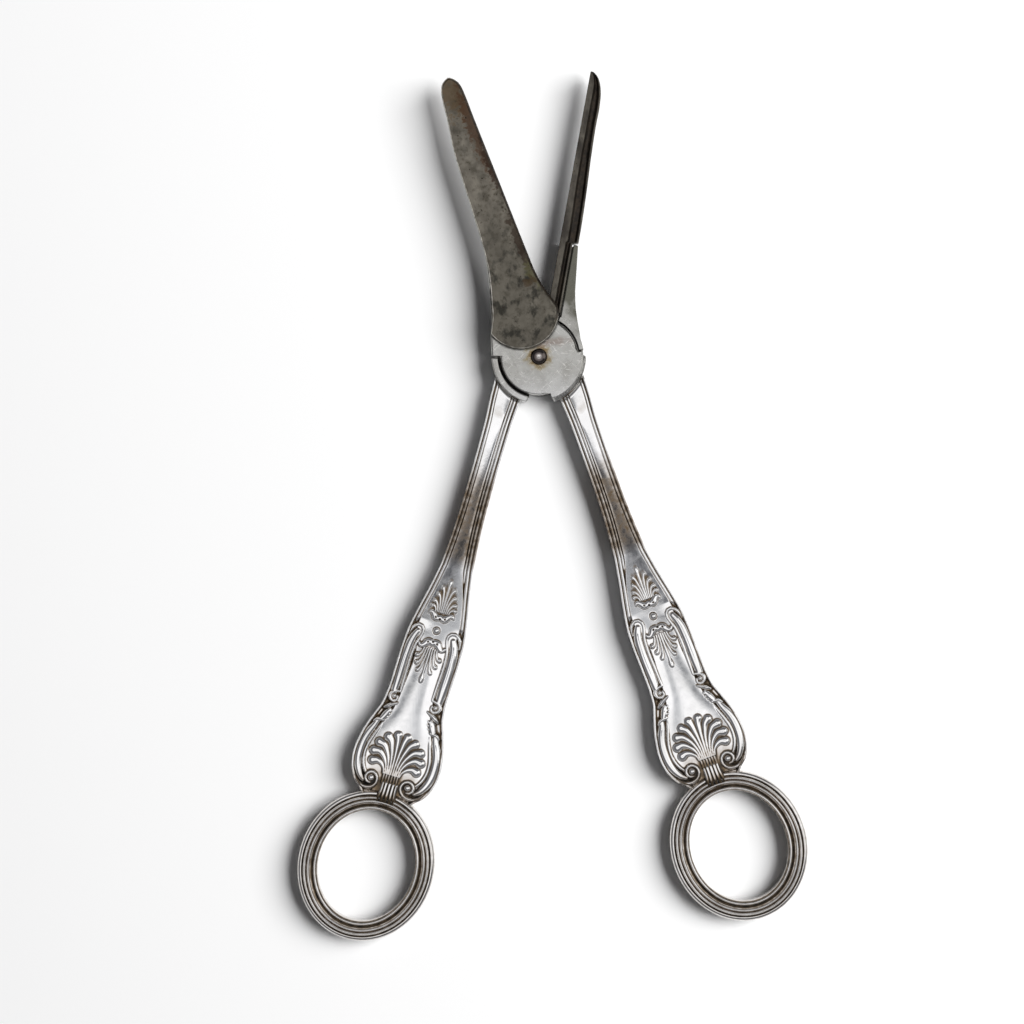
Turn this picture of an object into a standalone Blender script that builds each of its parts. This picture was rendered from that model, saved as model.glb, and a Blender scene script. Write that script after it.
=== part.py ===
"""Grape shears: two silver-plated halves, each with a steel blade, crossing at a shouldered lap joint.

Lengths are metres. The pivot is the world Z axis, the shears lie flat on z = 0 and the blades point
along +Y. Both halves are described in one half frame: outer face down, blade up and to the right,
handle down and to the left. The rear half keeps that frame. The front half is the frame turned half
a turn about Y, so that each half laps over the other.
"""

import math

import bmesh
import bpy
import numpy as np
from mathutils import Matrix

mm = 0.001

# Clearances
LAP_GAP = 0.3 * mm
SEAT_GAP = 0.2 * mm
RUNNING_GAP = 0.25 * mm
SWEEP_GAP = 0.5 * mm
OVERRUN = 2.0 * mm
MERGE = 0.001 * mm
SHARP_ANGLE = math.radians(35)

# Opening of the shears: the pose is fully open, each handle this far from the middle line
HANDLE_ANGLE = math.radians(18.5)
CLOSING_ANGLE = math.radians(26.0)

# Joint plates and their stop shoulders
PLATE_THICKNESS = 2.2 * mm
DISC_RADIUS = 7.66 * mm
COLLAR_GAP = 0.54 * mm
COLLAR_WIDTH = 1.25 * mm
COLLAR_STEP = 0.8 * mm
BLADE_COLLAR_WIDTH = 0.8 * mm
SHOULDER_WIDTH = 1.24 * mm
HANDLE_SHOULDER = (-2.5, 75.8)
HANDLE_COLLAR = (-1.5, 71.5)
BLADE_SHOULDER = (175.5, 249.0)
BLADE_COLLAR = (190.4, 245.0)
ARC_STEP = math.radians(5.0)
DISC_STEPS = 72

# Rivet
RIVET_RADIUS = 1.1 * mm
RIVET_HEAD_RADIUS = 1.5 * mm
RIVET_HEAD_HEIGHT = 0.6 * mm
RIVET_TAIL_RADIUS = 1.7 * mm
RIVET_TAIL_DEPTH = 0.8 * mm
ROUND_STEPS = 24
DOME_STEPS = 4

# Front blade: a flat cutter on the face of its joint plate
FRONT_BLADE_ANGLE = math.radians(19.9)
FRONT_BLADE_LENGTH = 58.2 * mm
FRONT_BLADE_REACH = 7.2 * mm
FRONT_BLADE_THICKNESS = 1.1 * mm
FRONT_BLADE_EDGE = 0.3 * mm
FRONT_BEVEL = 0.55 * mm
FRONT_THINNING_SHARE = 0.3
FRONT_CROWN_SHARE = 0.95
FRONT_BACK_EDGE_SHARE = 0.5
FRONT_HEEL_STATIONS = 8
FRONT_STATIONS = 14
FRONT_BLADE_SHARES = (
    (0.041, -0.20, 0.18),
    (0.045, -0.41, 0.34),
    (0.057, -0.66, 0.54),
    (0.074, -0.86, 0.72),
    (0.097, -0.97, 0.87),
    (0.130, -1.00, 0.98),
    (0.178, -0.90, 0.80),
    (0.230, -0.80, 0.67),
    (0.280, -0.76, 0.54),
    (0.330, -0.76, 0.43),
    (0.410, -0.76, 0.33),
    (0.580, -0.76, 0.22),
    (0.760, -0.76, 0.10),
    (0.885, -0.76, -0.06),
    (0.945, -0.755, -0.12),
    (0.977, -0.70, -0.22),
    (1.000, -0.56, -0.45),
)

# Rear blade: a deeper, channelled jaw that the front blade passes over
REAR_BLADE_ANGLE = math.radians(12.0)
REAR_BLADE_LENGTH = 57.8 * mm
REAR_BLADE_WIDTH = 3.75 * mm
REAR_BLADE_SINK = 0.1 * mm
REAR_TIP_THICKNESS = 1.5 * mm
REAR_LAND = 1.0 * mm
REAR_BACK_LAND = 0.65 * mm
REAR_CHANNEL_DEPTH = 0.9 * mm
REAR_CHANNEL_SIDE_SHARE = 0.25
REAR_RELIEF_SHARE = 0.5
REAR_HEEL_WIDTH = 2.6 * mm
REAR_BLADE_SHARES = (
    (0.000, 1.00),
    (0.120, 0.99),
    (0.310, 0.93),
    (0.520, 0.84),
    (0.690, 0.80),
    (0.810, 0.81),
    (0.915, 0.70),
    (0.965, 0.52),
    (1.000, 0.16),
)

# Silver tongues that carry the blades
TONGUE_FLOOR = 1.2 * mm
REAR_WALL_END = 23.2 * mm
REAR_WALL_SHARES = (
    (0.14, 2.18),
    (0.25, 1.94),
    (0.34, 1.73),
    (0.45, 1.50),
    (0.60, 1.29),
    (0.79, 1.15),
    (0.95, 1.03),
    (1.0, 1.0),
)
REAR_WALL_STATIONS = 12
FRONT_TONGUE_LENGTH = 22.5 * mm
FRONT_TONGUE_SHARES = (0.13, 0.178, 0.23, 0.28, 0.33)
FRONT_STRIP = 0.3 * mm
FRONT_SHOULDER_EDGE = 9.45 * mm

# Handles: the pattern at the wide end is the same on both, the plain reeded shanks differ in length
LEFT_HANDLE_REACH = 92.5 * mm
RIGHT_HANDLE_REACH = 90.7 * mm
AXIS_OFFSET = 3.85 * mm
PATTERN_LENGTH = 47.5 * mm
END_HALF_WIDTH = 9.05 * mm
SHANK_HALF_WIDTH = 2.6 * mm
JOINT_HALF_WIDTH = 3.1 * mm
RIM_WIDTH = 0.85 * mm
SCROLL_WIDTH = 2.2 * mm
AXIS_SHARES = (
    (0.05, 1.07),
    (0.25, 1.0),
    (0.4, 0.95),
    (0.5, 0.905),
    (0.6, 0.905),
    (0.75, 0.945),
    (0.9, 0.99),
    (1.02, 1.0),
)
PATTERN_WIDTH_SHARES = (
    (-0.03, 0.52),
    (0.0, 0.66),
    (0.02, 0.78),
    (0.053, 0.89),
    (0.105, 0.98),
    (0.158, 1.0),
    (0.21, 0.965),
    (0.263, 0.90),
    (0.316, 0.807),
    (0.368, 0.715),
    (0.42, 0.68),
    (0.526, 0.674),
    (0.63, 0.674),
    (0.695, 0.657),
    (0.79, 0.575),
    (0.895, 0.464),
    (1.0, 0.37),
)
SHANK_FLARE_SHARES = (
    (0.0, 1.0, 0.0),
    (0.2, 0.5, 0.0),
    (0.4, 0.15, 0.0),
    (0.6, 0.0, 0.0),
    (0.75, 0.0, 0.1),
    (0.88, 0.0, 0.42),
    (1.0, 0.0, 1.0),
)
RIM_SHARES = ((-0.03, 0.8), (0.1, 1.0), (0.6, 1.0), (0.8, 0.75), (1.0, 0.65))
SCROLL_SHARES = (
    (-0.03, 0.85),
    (0.1, 1.0),
    (0.25, 0.9),
    (0.3, 0.7),
    (0.36, 0.5),
    (0.42, 0.75),
    (0.5, 0.86),
    (0.66, 0.86),
    (0.72, 0.7),
    (0.78, 0.32),
    (1.0, 0.27),
)
CROWN_SHARES = ((-0.03, 0.72), (0.7, 0.72), (0.85, 0.76), (1.0, 0.84))
RIM_SECTION_SHARES = ((0.0, 0.42), (0.4, 0.66), (1.0, 0.55))
SCROLL_SECTION_SHARES = ((0.2, 0.84), (0.65, 0.88), (1.0, 0.60))
PANEL_SECTION_SHARES = (0.35, 0.7)
HANDLE_ROOT_SHARE = 0.6
PATTERN_STATIONS = 21
SHANK_STATIONS = 6

# Raised ornament of the handles, placed from the wide end
SHELL = {
    "root": 3.6 * mm,
    "length": 9.2 * mm,
    "half": 5.5 * mm,
    "lift": 3.7 * mm,
    "spread": math.radians(120),
    "lobes": 9,
}
DROP = {
    "root": 31.4 * mm,
    "length": 8.4 * mm,
    "half": 2.7 * mm,
    "lift": 3.4 * mm,
    "spread": math.radians(109),
    "lobes": 5,
}
PALMETTE = {
    "root": 37.2 * mm,
    "length": 7.4 * mm,
    "half": 2.7 * mm,
    "lift": 3.0 * mm,
    "spread": math.radians(109),
    "lobes": 5,
}
FAN_SHARES = ((0.14, 0.90), (0.5, 0.95), (0.88, 0.99), (1.0, 0.68))
FLOOR_SHARE = 0.74
SCALLOP_SHARE = 0.07
FLUTE_BEND_SHARES = (0.42, 0.55, 0.22)
BOSS_RISE_SHARE = 0.94
BOSS_ROUNDNESS_SHARE = 0.6
BOSS_STEPS = 8
BOSS_ROWS = 6
VOLUTE_RISE_SHARE = 0.9
VOLUTE_STEPS = 16
VOLUTE_PLACE = 2.4 * mm
VOLUTE_SPREAD = 3.85 * mm
VOLUTE_RADIUS = 1.5 * mm
VOLUTE_EYE_RADIUS = 0.65 * mm
KNOT_PLACES = (14.9 * mm, 19.6 * mm)
KNOT_RADIUS = 1.35 * mm
HOOK_PLACE = 33.2 * mm
HOOK_RADIUS = 1.25 * mm
BEAD_PLACE = 34.35 * mm
BEAD_RADIUS = 1.1 * mm
CURL_RADIUS = 1.1 * mm
CURL_SPREAD = 1.25 * mm

# Finger rings and the bindings that clasp them
RING_DISTANCE = 14.8 * mm
RING_OFFSET = 3.75 * mm
RING_HOLE_HALF_WIDTH = 9.6 * mm
RING_HOLE_HALF_LENGTH = 11.2 * mm
RING_BAND_WIDTH = 4.0 * mm
RING_THICKNESS = 3.5 * mm
RING_STEPS = 36
RING_SECTION_SHARES = (
    (1.0, 0.0),
    (0.95, 0.46),
    (0.5, 0.78),
    (0.30, 0.98),
    (0.12, 0.78),
    (-0.08, 1.0),
    (-0.32, 0.72),
    (-0.64, 0.66),
    (-0.82, 0.80),
    (-0.97, 0.46),
    (-1.0, 0.0),
)
RING_SEAT_SHARES = ((1.0, 0.5), (0.6, 1.0), (-0.6, 1.0), (-1.0, 0.5))
BINDING_WIDTH = 4.2 * mm
BINDING_TOP = 4.3 * mm
BINDING_LAP = 2.2 * mm
BINDING_STRANDS = 5
STRAND_SHARES = ((0.0, 0.93), (0.3, 1.0), (0.7, 1.0))

STACK = 2 * PLATE_THICKNESS + LAP_GAP
OUTER = -STACK / 2
LAP = -LAP_GAP / 2
FAR = STACK / 2
COLLAR_INNER = DISC_RADIUS + COLLAR_GAP
COLLAR_OUTER = COLLAR_INNER + COLLAR_WIDTH
SHOULDER_RADIUS = DISC_RADIUS + SHOULDER_WIDTH


def clear_scene():
    for old in list(bpy.data.objects):
        bpy.data.objects.remove(old, do_unlink=True)


def new_collection(name):
    made = bpy.data.collections.new(name)
    bpy.context.scene.collection.children.link(made)
    return made


def new_material(name, colour, roughness):
    """A metal from its red, green and blue reflectance and its roughness."""
    made = bpy.data.materials.new(name)
    made.use_nodes = True
    surface = made.node_tree.nodes["Principled BSDF"]
    surface.inputs["Base Color"].default_value = (*colour, 1.0)
    surface.inputs["Roughness"].default_value = roughness
    surface.inputs["Metallic"].default_value = 1.0
    return made


def new_empty(name, parent=None):
    made = bpy.data.objects.new(name, None)
    made.parent = parent
    PIECES.objects.link(made)
    return made


def new_piece(name, bm, parent, material):
    """A named sub-part from the closed shapes in bm."""
    mesh = bpy.data.meshes.new(name)
    bmesh.ops.recalc_face_normals(bm, faces=bm.faces)
    bm.to_mesh(mesh)
    bm.free()
    mesh.materials.append(material)
    mesh.shade_smooth()
    mesh.set_sharp_from_angle(angle=SHARP_ANGLE)
    made = bpy.data.objects.new(name, mesh)
    made.parent = parent
    PIECES.objects.link(made)
    return made


def combine(piece, name, bm, operation):
    """Joins the closed shapes in bm to a piece, or cuts them from it, through a hidden object."""
    mesh = bpy.data.meshes.new(name)
    bmesh.ops.recalc_face_normals(bm, faces=bm.faces)
    bm.to_mesh(mesh)
    bm.free()
    tool = bpy.data.objects.new(name, mesh)
    tool.parent = piece.parent
    tool.hide_render = True
    tool.display_type = "WIRE"
    CUTTERS.objects.link(tool)
    modifier = piece.modifiers.new(name, "BOOLEAN")
    modifier.operation = operation
    modifier.object = tool
    modifier.use_self = True


def read_table(table, place):
    """The values of a table of (place, values...) at any place, on a smooth curve through its rows."""
    rows = np.array(table)
    places = rows[:, 0]
    values = rows[:, 1:]
    slopes = np.gradient(values, places, axis=0)
    i = int(np.clip(np.searchsorted(places, place) - 1, 0, len(places) - 2))
    step = places[i + 1] - places[i]
    t = min(max((place - places[i]) / step, 0.0), 1.0)
    ends = (2 * t**3 - 3 * t**2 + 1) * values[i] + (3 * t**2 - 2 * t**3) * values[i + 1]
    bends = (t**3 - 2 * t**2 + t) * slopes[i] + (t**3 - t**2) * slopes[i + 1]
    found = ends + step * bends
    return found if len(found) > 1 else float(found[0])


def arc(radius, start, end):
    """Points on a circle about the pivot from one angle to another."""
    steps = max(1, math.ceil(abs(end - start) / ARC_STEP))
    angles = [start + (end - start) * i / steps for i in range(steps + 1)]
    return [(radius * math.cos(a), radius * math.sin(a)) for a in angles]


def add_prism(bm, outline, low, high):
    """Raises a flat outline from one height to another."""
    base = bm.faces.new([bm.verts.new((x, y, low)) for x, y in outline])
    raised = bmesh.ops.extrude_face_region(bm, geom=[base])["geom"]
    lifted = [item for item in raised if isinstance(item, bmesh.types.BMVert)]
    bmesh.ops.translate(bm, verts=lifted, vec=(0, 0, high - low))


def add_skin(bm, loops):
    """Skins a row of loops with equal point counts and gives back the loops' vertices."""
    rows = [[bm.verts.new(point) for point in loop] for loop in loops]
    count = len(rows[0])
    for lower, upper in zip(rows, rows[1:]):
        for i in range(count):
            j = (i + 1) % count
            bm.faces.new((lower[i], lower[j], upper[j], upper[i]))
    return rows


def add_loft(bm, loops):
    """A solid through flat loops, closed by one face at each end."""
    rows = add_skin(bm, loops)
    bm.faces.new(rows[0][::-1])
    bm.faces.new(rows[-1])


def add_two_faced(bm, tops):
    """A solid from rows of points on its upper face, the lower face its mirror image."""
    loops = [row + [(x, y, -z) for x, y, z in reversed(row)] for row in tops]
    rows = add_skin(bm, loops)
    last = len(loops[0]) - 1
    for i in range(last // 2):
        bm.faces.new((rows[0][i], rows[0][last - i], rows[0][last - i - 1], rows[0][i + 1]))
        bm.faces.new((rows[-1][i], rows[-1][i + 1], rows[-1][last - i - 1], rows[-1][last - i]))


def add_cylinder(bm, low_radius, high_radius, low, high, place=(0, 0), steps=ROUND_STEPS):
    shift = Matrix.Translation((*place, (low + high) / 2))
    bmesh.ops.create_cone(
        bm,
        cap_ends=True,
        segments=steps,
        radius1=low_radius,
        radius2=high_radius,
        depth=high - low,
        matrix=shift,
    )


def along_blade(angle, along, across):
    """A point measured along a blade and across it, to its right."""
    x = along * math.sin(angle) + across * math.cos(angle)
    y = along * math.cos(angle) - across * math.sin(angle)
    return x, y


def sector_angles(sector):
    """A plate's sector is given from its own handle, outwards round the plate."""
    handle = -math.pi / 2 - HANDLE_ANGLE
    return handle - math.radians(sector[0]), handle - math.radians(sector[1])


def add_sector(bm, sector, inner, outer, low, high):
    """A curved block on the plate's edge."""
    start, end = sector_angles(sector)
    add_prism(bm, arc(outer, start, end) + arc(inner, end, start), low, high)


def add_shoulders(bm):
    """The wider sectors, and the collars there that rise past the lap as stops for the other half."""
    core = DISC_RADIUS - COLLAR_WIDTH
    for sector in (HANDLE_SHOULDER, BLADE_SHOULDER):
        add_sector(bm, sector, core, SHOULDER_RADIUS, OUTER, LAP)
    add_sector(bm, HANDLE_COLLAR, COLLAR_INNER, COLLAR_OUTER, OUTER + COLLAR_STEP, FAR)
    edge = COLLAR_INNER + BLADE_COLLAR_WIDTH
    add_sector(bm, BLADE_COLLAR, COLLAR_INNER, edge, OUTER + COLLAR_STEP, FAR)


def joint_plate(name, parent, add_tongue, bore):
    """A joint plate with its shoulders and its blade tongue, bored for the rivet."""
    body = bmesh.new()
    add_cylinder(body, DISC_RADIUS, DISC_RADIUS, OUTER, LAP, steps=DISC_STEPS)
    plate = new_piece(name, body, parent, SILVER)
    joined = bmesh.new()
    add_shoulders(joined)
    add_tongue(joined)
    combine(plate, name + "_shoulders", joined, "UNION")
    combine(plate, name + "_bore", bore, "DIFFERENCE")


def front_back(share):
    """How far the front blade's back lies from its own line, part way along."""
    return read_table(FRONT_BLADE_SHARES, share)[1] * FRONT_BLADE_REACH


def front_tongue_inner(distance):
    """A point on the tongue's inner side, which stays clear of the rear blade when the shears close."""
    return along_blade(CLOSING_ANGLE - REAR_BLADE_ANGLE, distance, SWEEP_GAP)


def add_front_tongue(bm):
    """A strip under the back of the front blade, showing past its edge."""
    outer = [
        along_blade(FRONT_BLADE_ANGLE, share * FRONT_BLADE_LENGTH, front_back(share) + FRONT_STRIP)
        for share in FRONT_TONGUE_SHARES
    ]
    end_share = FRONT_TONGUE_LENGTH / FRONT_BLADE_LENGTH
    tip = along_blade(FRONT_BLADE_ANGLE, FRONT_TONGUE_LENGTH, front_back(end_share))
    inner = [
        front_tongue_inner(FRONT_TONGUE_LENGTH - COLLAR_WIDTH),
        front_tongue_inner(DISC_RADIUS / 2),
    ]
    stop = sector_angles(BLADE_SHOULDER)[1]
    root = (DISC_RADIUS / 2, FRONT_SHOULDER_EDGE * math.tan(stop))
    corner = (FRONT_SHOULDER_EDGE, FRONT_SHOULDER_EDGE * math.tan(stop))
    add_prism(bm, [root, corner, *outer, tip, *inner], OUTER, LAP)


def add_rear_tongue(bm):
    """A floor under the rear blade and a wall behind its back."""
    inner = REAR_HEEL_WIDTH + SEAT_GAP
    places = np.linspace(REAR_WALL_SHARES[0][0], REAR_WALL_SHARES[-1][0], REAR_WALL_STATIONS)
    outer = [
        along_blade(
            REAR_BLADE_ANGLE,
            share * REAR_WALL_END,
            read_table(REAR_WALL_SHARES, share) * REAR_BLADE_WIDTH,
        )
        for share in places
    ]
    foot = along_blade(REAR_BLADE_ANGLE, DISC_RADIUS / 2, 0)
    front = along_blade(REAR_BLADE_ANGLE, REAR_WALL_END, 0)
    add_prism(bm, [*outer, front, foot], OUTER, OUTER + TONGUE_FLOOR)
    wall_end = along_blade(REAR_BLADE_ANGLE, REAR_WALL_END, inner)
    heel = math.sqrt(COLLAR_INNER**2 - inner**2)
    seat_end = math.pi / 2 - REAR_BLADE_ANGLE - math.atan2(inner, heel)
    seat_start = math.atan2(outer[0][1], outer[0][0])
    wall = [*outer, wall_end, *arc(COLLAR_INNER, seat_end, seat_start)]
    add_prism(bm, wall, OUTER, FAR - REAR_BLADE_SINK)


def front_bore():
    bm = bmesh.new()
    radius = RIVET_RADIUS + RUNNING_GAP
    add_cylinder(bm, radius, radius, OUTER - OVERRUN, LAP + OVERRUN)
    return bm


def rear_bore():
    """The bore with a countersink for the rivet's closed tail."""
    bm = bmesh.new()
    radius = RIVET_RADIUS + SEAT_GAP
    add_cylinder(bm, radius, radius, OUTER - OVERRUN, LAP + OVERRUN)
    slope = (RIVET_TAIL_RADIUS - RIVET_RADIUS) / RIVET_TAIL_DEPTH
    wide = RIVET_TAIL_RADIUS + SEAT_GAP + slope * OVERRUN
    add_cylinder(bm, wide, radius, OUTER - OVERRUN, OUTER + RIVET_TAIL_DEPTH)
    return bm


def pivot_rivet(parent):
    """Turned from a half outline: domed head, shank, and a tail flush with the rear plate."""
    head = FAR + SEAT_GAP
    dome = [
        (RIVET_HEAD_RADIUS * math.sin(a), head + RIVET_HEAD_HEIGHT * math.cos(a))
        for a in [math.pi / 2 * i / DOME_STEPS for i in range(DOME_STEPS + 1)]
    ]
    profile = [
        *dome,
        (RIVET_RADIUS, head),
        (RIVET_RADIUS, OUTER + RIVET_TAIL_DEPTH),
        (RIVET_TAIL_RADIUS, OUTER),
        (0, OUTER),
    ]
    mesh = bpy.data.meshes.new("pivot_rivet")
    edges = [(i, i + 1) for i in range(len(profile) - 1)]
    mesh.from_pydata([(x, 0, z) for x, z in profile], edges, [])
    mesh.materials.append(RIVET_STEEL)
    rivet = bpy.data.objects.new("pivot_rivet", mesh)
    rivet.parent = parent
    PIECES.objects.link(rivet)
    screw = rivet.modifiers.new("turned", "SCREW")
    screw.steps = ROUND_STEPS
    screw.render_steps = ROUND_STEPS
    screw.use_merge_vertices = True
    screw.merge_threshold = MERGE
    return rivet


def front_stations():
    """Places along the front blade as shares of its length, close together at the heel and the tip."""
    heel_start = FRONT_BLADE_SHARES[0][0]
    heel_end = FRONT_TONGUE_SHARES[0]
    turns = np.linspace(0, math.pi / 2, FRONT_HEEL_STATIONS, endpoint=False)
    heel = heel_start + (heel_end - heel_start) * (1 - np.cos(turns))
    rest = heel_end + (1 - heel_end) * np.sin(np.linspace(0, math.pi / 2, FRONT_STATIONS))
    return [*heel, *rest]


def front_blade(parent):
    """A flat steel cutter, its face towards the lap flat and its outer face ground to both edges."""
    face = OUTER - SEAT_GAP
    loops = []
    for share in front_stations():
        cutting, back = read_table(FRONT_BLADE_SHARES, share)
        left = cutting * FRONT_BLADE_REACH
        right = back * FRONT_BLADE_REACH
        middle = (left + right) / 2
        bevel = min(FRONT_BEVEL, (right - left) / 3)
        crown = FRONT_BLADE_THICKNESS * (1 - FRONT_THINNING_SHARE * share)
        ground = FRONT_BLADE_EDGE + (crown - FRONT_BLADE_EDGE) * bevel / FRONT_BEVEL
        section = (
            (left, face),
            (left, face - FRONT_BLADE_EDGE),
            (left + bevel, face - FRONT_CROWN_SHARE * ground),
            (middle, face - ground),
            (right - bevel / 2, face - FRONT_CROWN_SHARE * ground),
            (right, face - FRONT_BACK_EDGE_SHARE * ground),
            (right, face),
        )
        along = share * FRONT_BLADE_LENGTH
        loops.append([(*along_blade(FRONT_BLADE_ANGLE, along, across), z) for across, z in section])
    bm = bmesh.new()
    add_loft(bm, loops)
    return new_piece("front_blade", bm, parent, STEEL)


def rear_blade_widths():
    """Distance along and width: the heel inside the tongue's wall, then the full blade to the tip."""
    step = REAR_WALL_END + SEAT_GAP
    full = step + REAR_BACK_LAND / 2
    heel = [(DISC_RADIUS, REAR_HEEL_WIDTH), (step, REAR_HEEL_WIDTH)]
    jaw = [
        (full + share * (REAR_BLADE_LENGTH - full), width * REAR_BLADE_WIDTH)
        for share, width in REAR_BLADE_SHARES
    ]
    return heel + jaw


def rear_blade(parent):
    """A steel jaw with a ground channel between the cutting land and the back land."""
    top = FAR - REAR_BLADE_SINK
    base = OUTER + TONGUE_FLOOR + SEAT_GAP
    loops = []
    for along, back in rear_blade_widths():
        fit = min(1.0, back / REAR_HEEL_WIDTH)
        land = fit * REAR_LAND
        back_land = fit * REAR_BACK_LAND
        slope = (back - land - back_land) * REAR_CHANNEL_SIDE_SHARE
        low = base + (top - REAR_TIP_THICKNESS - base) * along / REAR_BLADE_LENGTH
        depth = fit * REAR_CHANNEL_DEPTH
        section = (
            (0, top),
            (land, top),
            (land + slope, top - depth),
            (back - back_land - slope, top - depth),
            (back - back_land, top),
            (back, top),
            (back, low),
            (land * REAR_RELIEF_SHARE, low),
            (0, top - depth),
        )
        loops.append([(*along_blade(REAR_BLADE_ANGLE, along, across), z) for across, z in section])
    bm = bmesh.new()
    add_loft(bm, loops)
    blade = new_piece("rear_blade", bm, parent, STEEL)
    cutter = bmesh.new()
    radius = COLLAR_OUTER + SEAT_GAP
    add_cylinder(cutter, radius, radius, OUTER - OVERRUN, FAR + OVERRUN)
    combine(blade, "rear_blade_heel", cutter, "DIFFERENCE")
    return blade


def axis_offset(reach, distance):
    """How far outside the pivot the handle's middle line runs at a distance from the pivot."""
    return AXIS_OFFSET * read_table(AXIS_SHARES, distance / reach)


def half_width(reach, distance):
    """Half of the handle's width: the flared pattern, then the slender shank up to the joint."""
    from_end = (reach - distance) / PATTERN_LENGTH
    if from_end <= 1:
        return END_HALF_WIDTH * read_table(PATTERN_WIDTH_SHARES, from_end)
    shank = reach - PATTERN_LENGTH
    at_joint, at_pattern = read_table(SHANK_FLARE_SHARES, distance / shank)
    pattern = END_HALF_WIDTH * PATTERN_WIDTH_SHARES[-1][1]
    return (
        SHANK_HALF_WIDTH
        + at_joint * (JOINT_HALF_WIDTH - SHANK_HALF_WIDTH)
        + at_pattern * (pattern - SHANK_HALF_WIDTH)
    )


def handle_section(reach, distance):
    """Rim reed, moulding and crowned panel of the upper face, mirrored about the handle's middle line."""
    from_end = min((reach - distance) / PATTERN_LENGTH, 1)
    half = half_width(reach, distance)
    rim = RIM_WIDTH * read_table(RIM_SHARES, from_end)
    moulding = SCROLL_WIDTH * read_table(SCROLL_SHARES, from_end)
    crown = read_table(CROWN_SHARES, from_end)
    panel = half - rim - moulding
    across_share, rise_share = PANEL_SECTION_SHARES
    foot = SCROLL_SECTION_SHARES[-1][1]
    side = [(share * rim, height) for share, height in RIM_SECTION_SHARES]
    side += [(rim + share * moulding, height) for share, height in SCROLL_SECTION_SHARES]
    side.append((rim + moulding + across_share * panel, foot + rise_share * (crown - foot)))
    face = [(half - inset, height * FAR) for inset, height in side]
    top = face + [(0, crown * FAR)] + [(-across, z) for across, z in reversed(face)]
    middle = axis_offset(reach, distance)
    return [(across - middle, -distance, z) for across, z in top]


def handle_stations(reach):
    start = DISC_RADIUS * HANDLE_ROOT_SHARE
    shank_end = reach - PATTERN_LENGTH
    shank = np.linspace(start, shank_end, SHANK_STATIONS, endpoint=False)
    ends = np.linspace(1, PATTERN_WIDTH_SHARES[0][0], PATTERN_STATIONS)
    return [*shank, *(reach - PATTERN_LENGTH * ends)]


def on_pattern(reach, across, from_end):
    """A place on the pattern, across from the middle line and up from the wide end."""
    distance = reach - from_end
    return -across - axis_offset(reach, distance), -distance


def add_boss(bm, place, radius):
    """A rounded bead through the handle that stands out alike on both faces."""
    made = bmesh.ops.create_uvsphere(bm, u_segments=BOSS_STEPS, v_segments=BOSS_ROWS, radius=1)["verts"]
    for vert in made:
        vert.co.x = place[0] + radius * vert.co.x
        vert.co.y = place[1] + radius * vert.co.y
        rise = abs(vert.co.z) ** BOSS_ROUNDNESS_SHARE * BOSS_RISE_SHARE * FAR
        vert.co.z = math.copysign(rise, vert.co.z)


def fan_point(fan, angle, share):
    """A point of a shell, across and up from its root: each flute bends out to an oval rim."""
    rim = (fan["half"] * math.sin(angle), fan["lift"] + (fan["length"] - fan["lift"]) * math.cos(angle))
    across_share, up_share, stem_share = FLUTE_BEND_SHARES
    bend = (rim[0] * across_share, rim[1] * up_share + fan["length"] * stem_share)
    return [2 * share * (1 - share) * middle + share**2 * end for middle, end in zip(bend, rim)]


def add_fan(bm, reach, fan, way):
    """A fluted shell through the handle, opening towards the joint (way 1) or away from it (way -1)."""
    count = 3 * fan["lobes"]
    tops = []
    for share, rise in FAN_SHARES:
        top = []
        for i in range(count + 1):
            ridge = 0 if i % 3 == 0 else 1
            angle = fan["spread"] * (2 * i / count - 1)
            across, up = fan_point(fan, angle, share * (1 - SCALLOP_SHARE * (1 - ridge)))
            height = min(rise, FLOOR_SHARE + (rise - FLOOR_SHARE) * ridge)
            top.append((*on_pattern(reach, across, fan["root"] + way * up), height * FAR))
        tops.append(top)
    add_two_faced(bm, tops)


def add_ornament(bm, reach):
    """Shell, volutes, knots, hooks, hanging shell, bead and palmette, standing out on both faces."""
    add_fan(bm, reach, SHELL, 1)
    add_fan(bm, reach, DROP, -1)
    add_fan(bm, reach, PALMETTE, 1)
    add_boss(bm, on_pattern(reach, 0, BEAD_PLACE), BEAD_RADIUS)
    low_rise = VOLUTE_RISE_SHARE * FAR
    for side in (-1, 1):
        place = on_pattern(reach, side * VOLUTE_SPREAD, VOLUTE_PLACE)
        add_cylinder(bm, VOLUTE_RADIUS, VOLUTE_RADIUS, -low_rise, low_rise, place, VOLUTE_STEPS)
        add_cylinder(bm, VOLUTE_EYE_RADIUS, VOLUTE_EYE_RADIUS, -FAR, FAR, place, VOLUTE_STEPS)
        for from_end in KNOT_PLACES:
            inset = half_width(reach, reach - from_end) - RIM_WIDTH - KNOT_RADIUS / 2
            add_boss(bm, on_pattern(reach, side * inset, from_end), KNOT_RADIUS)
        inset = half_width(reach, reach - HOOK_PLACE) - RIM_WIDTH - HOOK_RADIUS
        add_boss(bm, on_pattern(reach, side * inset, HOOK_PLACE), HOOK_RADIUS)
        for root in (DROP["root"], PALMETTE["root"] - CURL_RADIUS / 2):
            add_boss(bm, on_pattern(reach, side * CURL_SPREAD, root), CURL_RADIUS)


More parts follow.
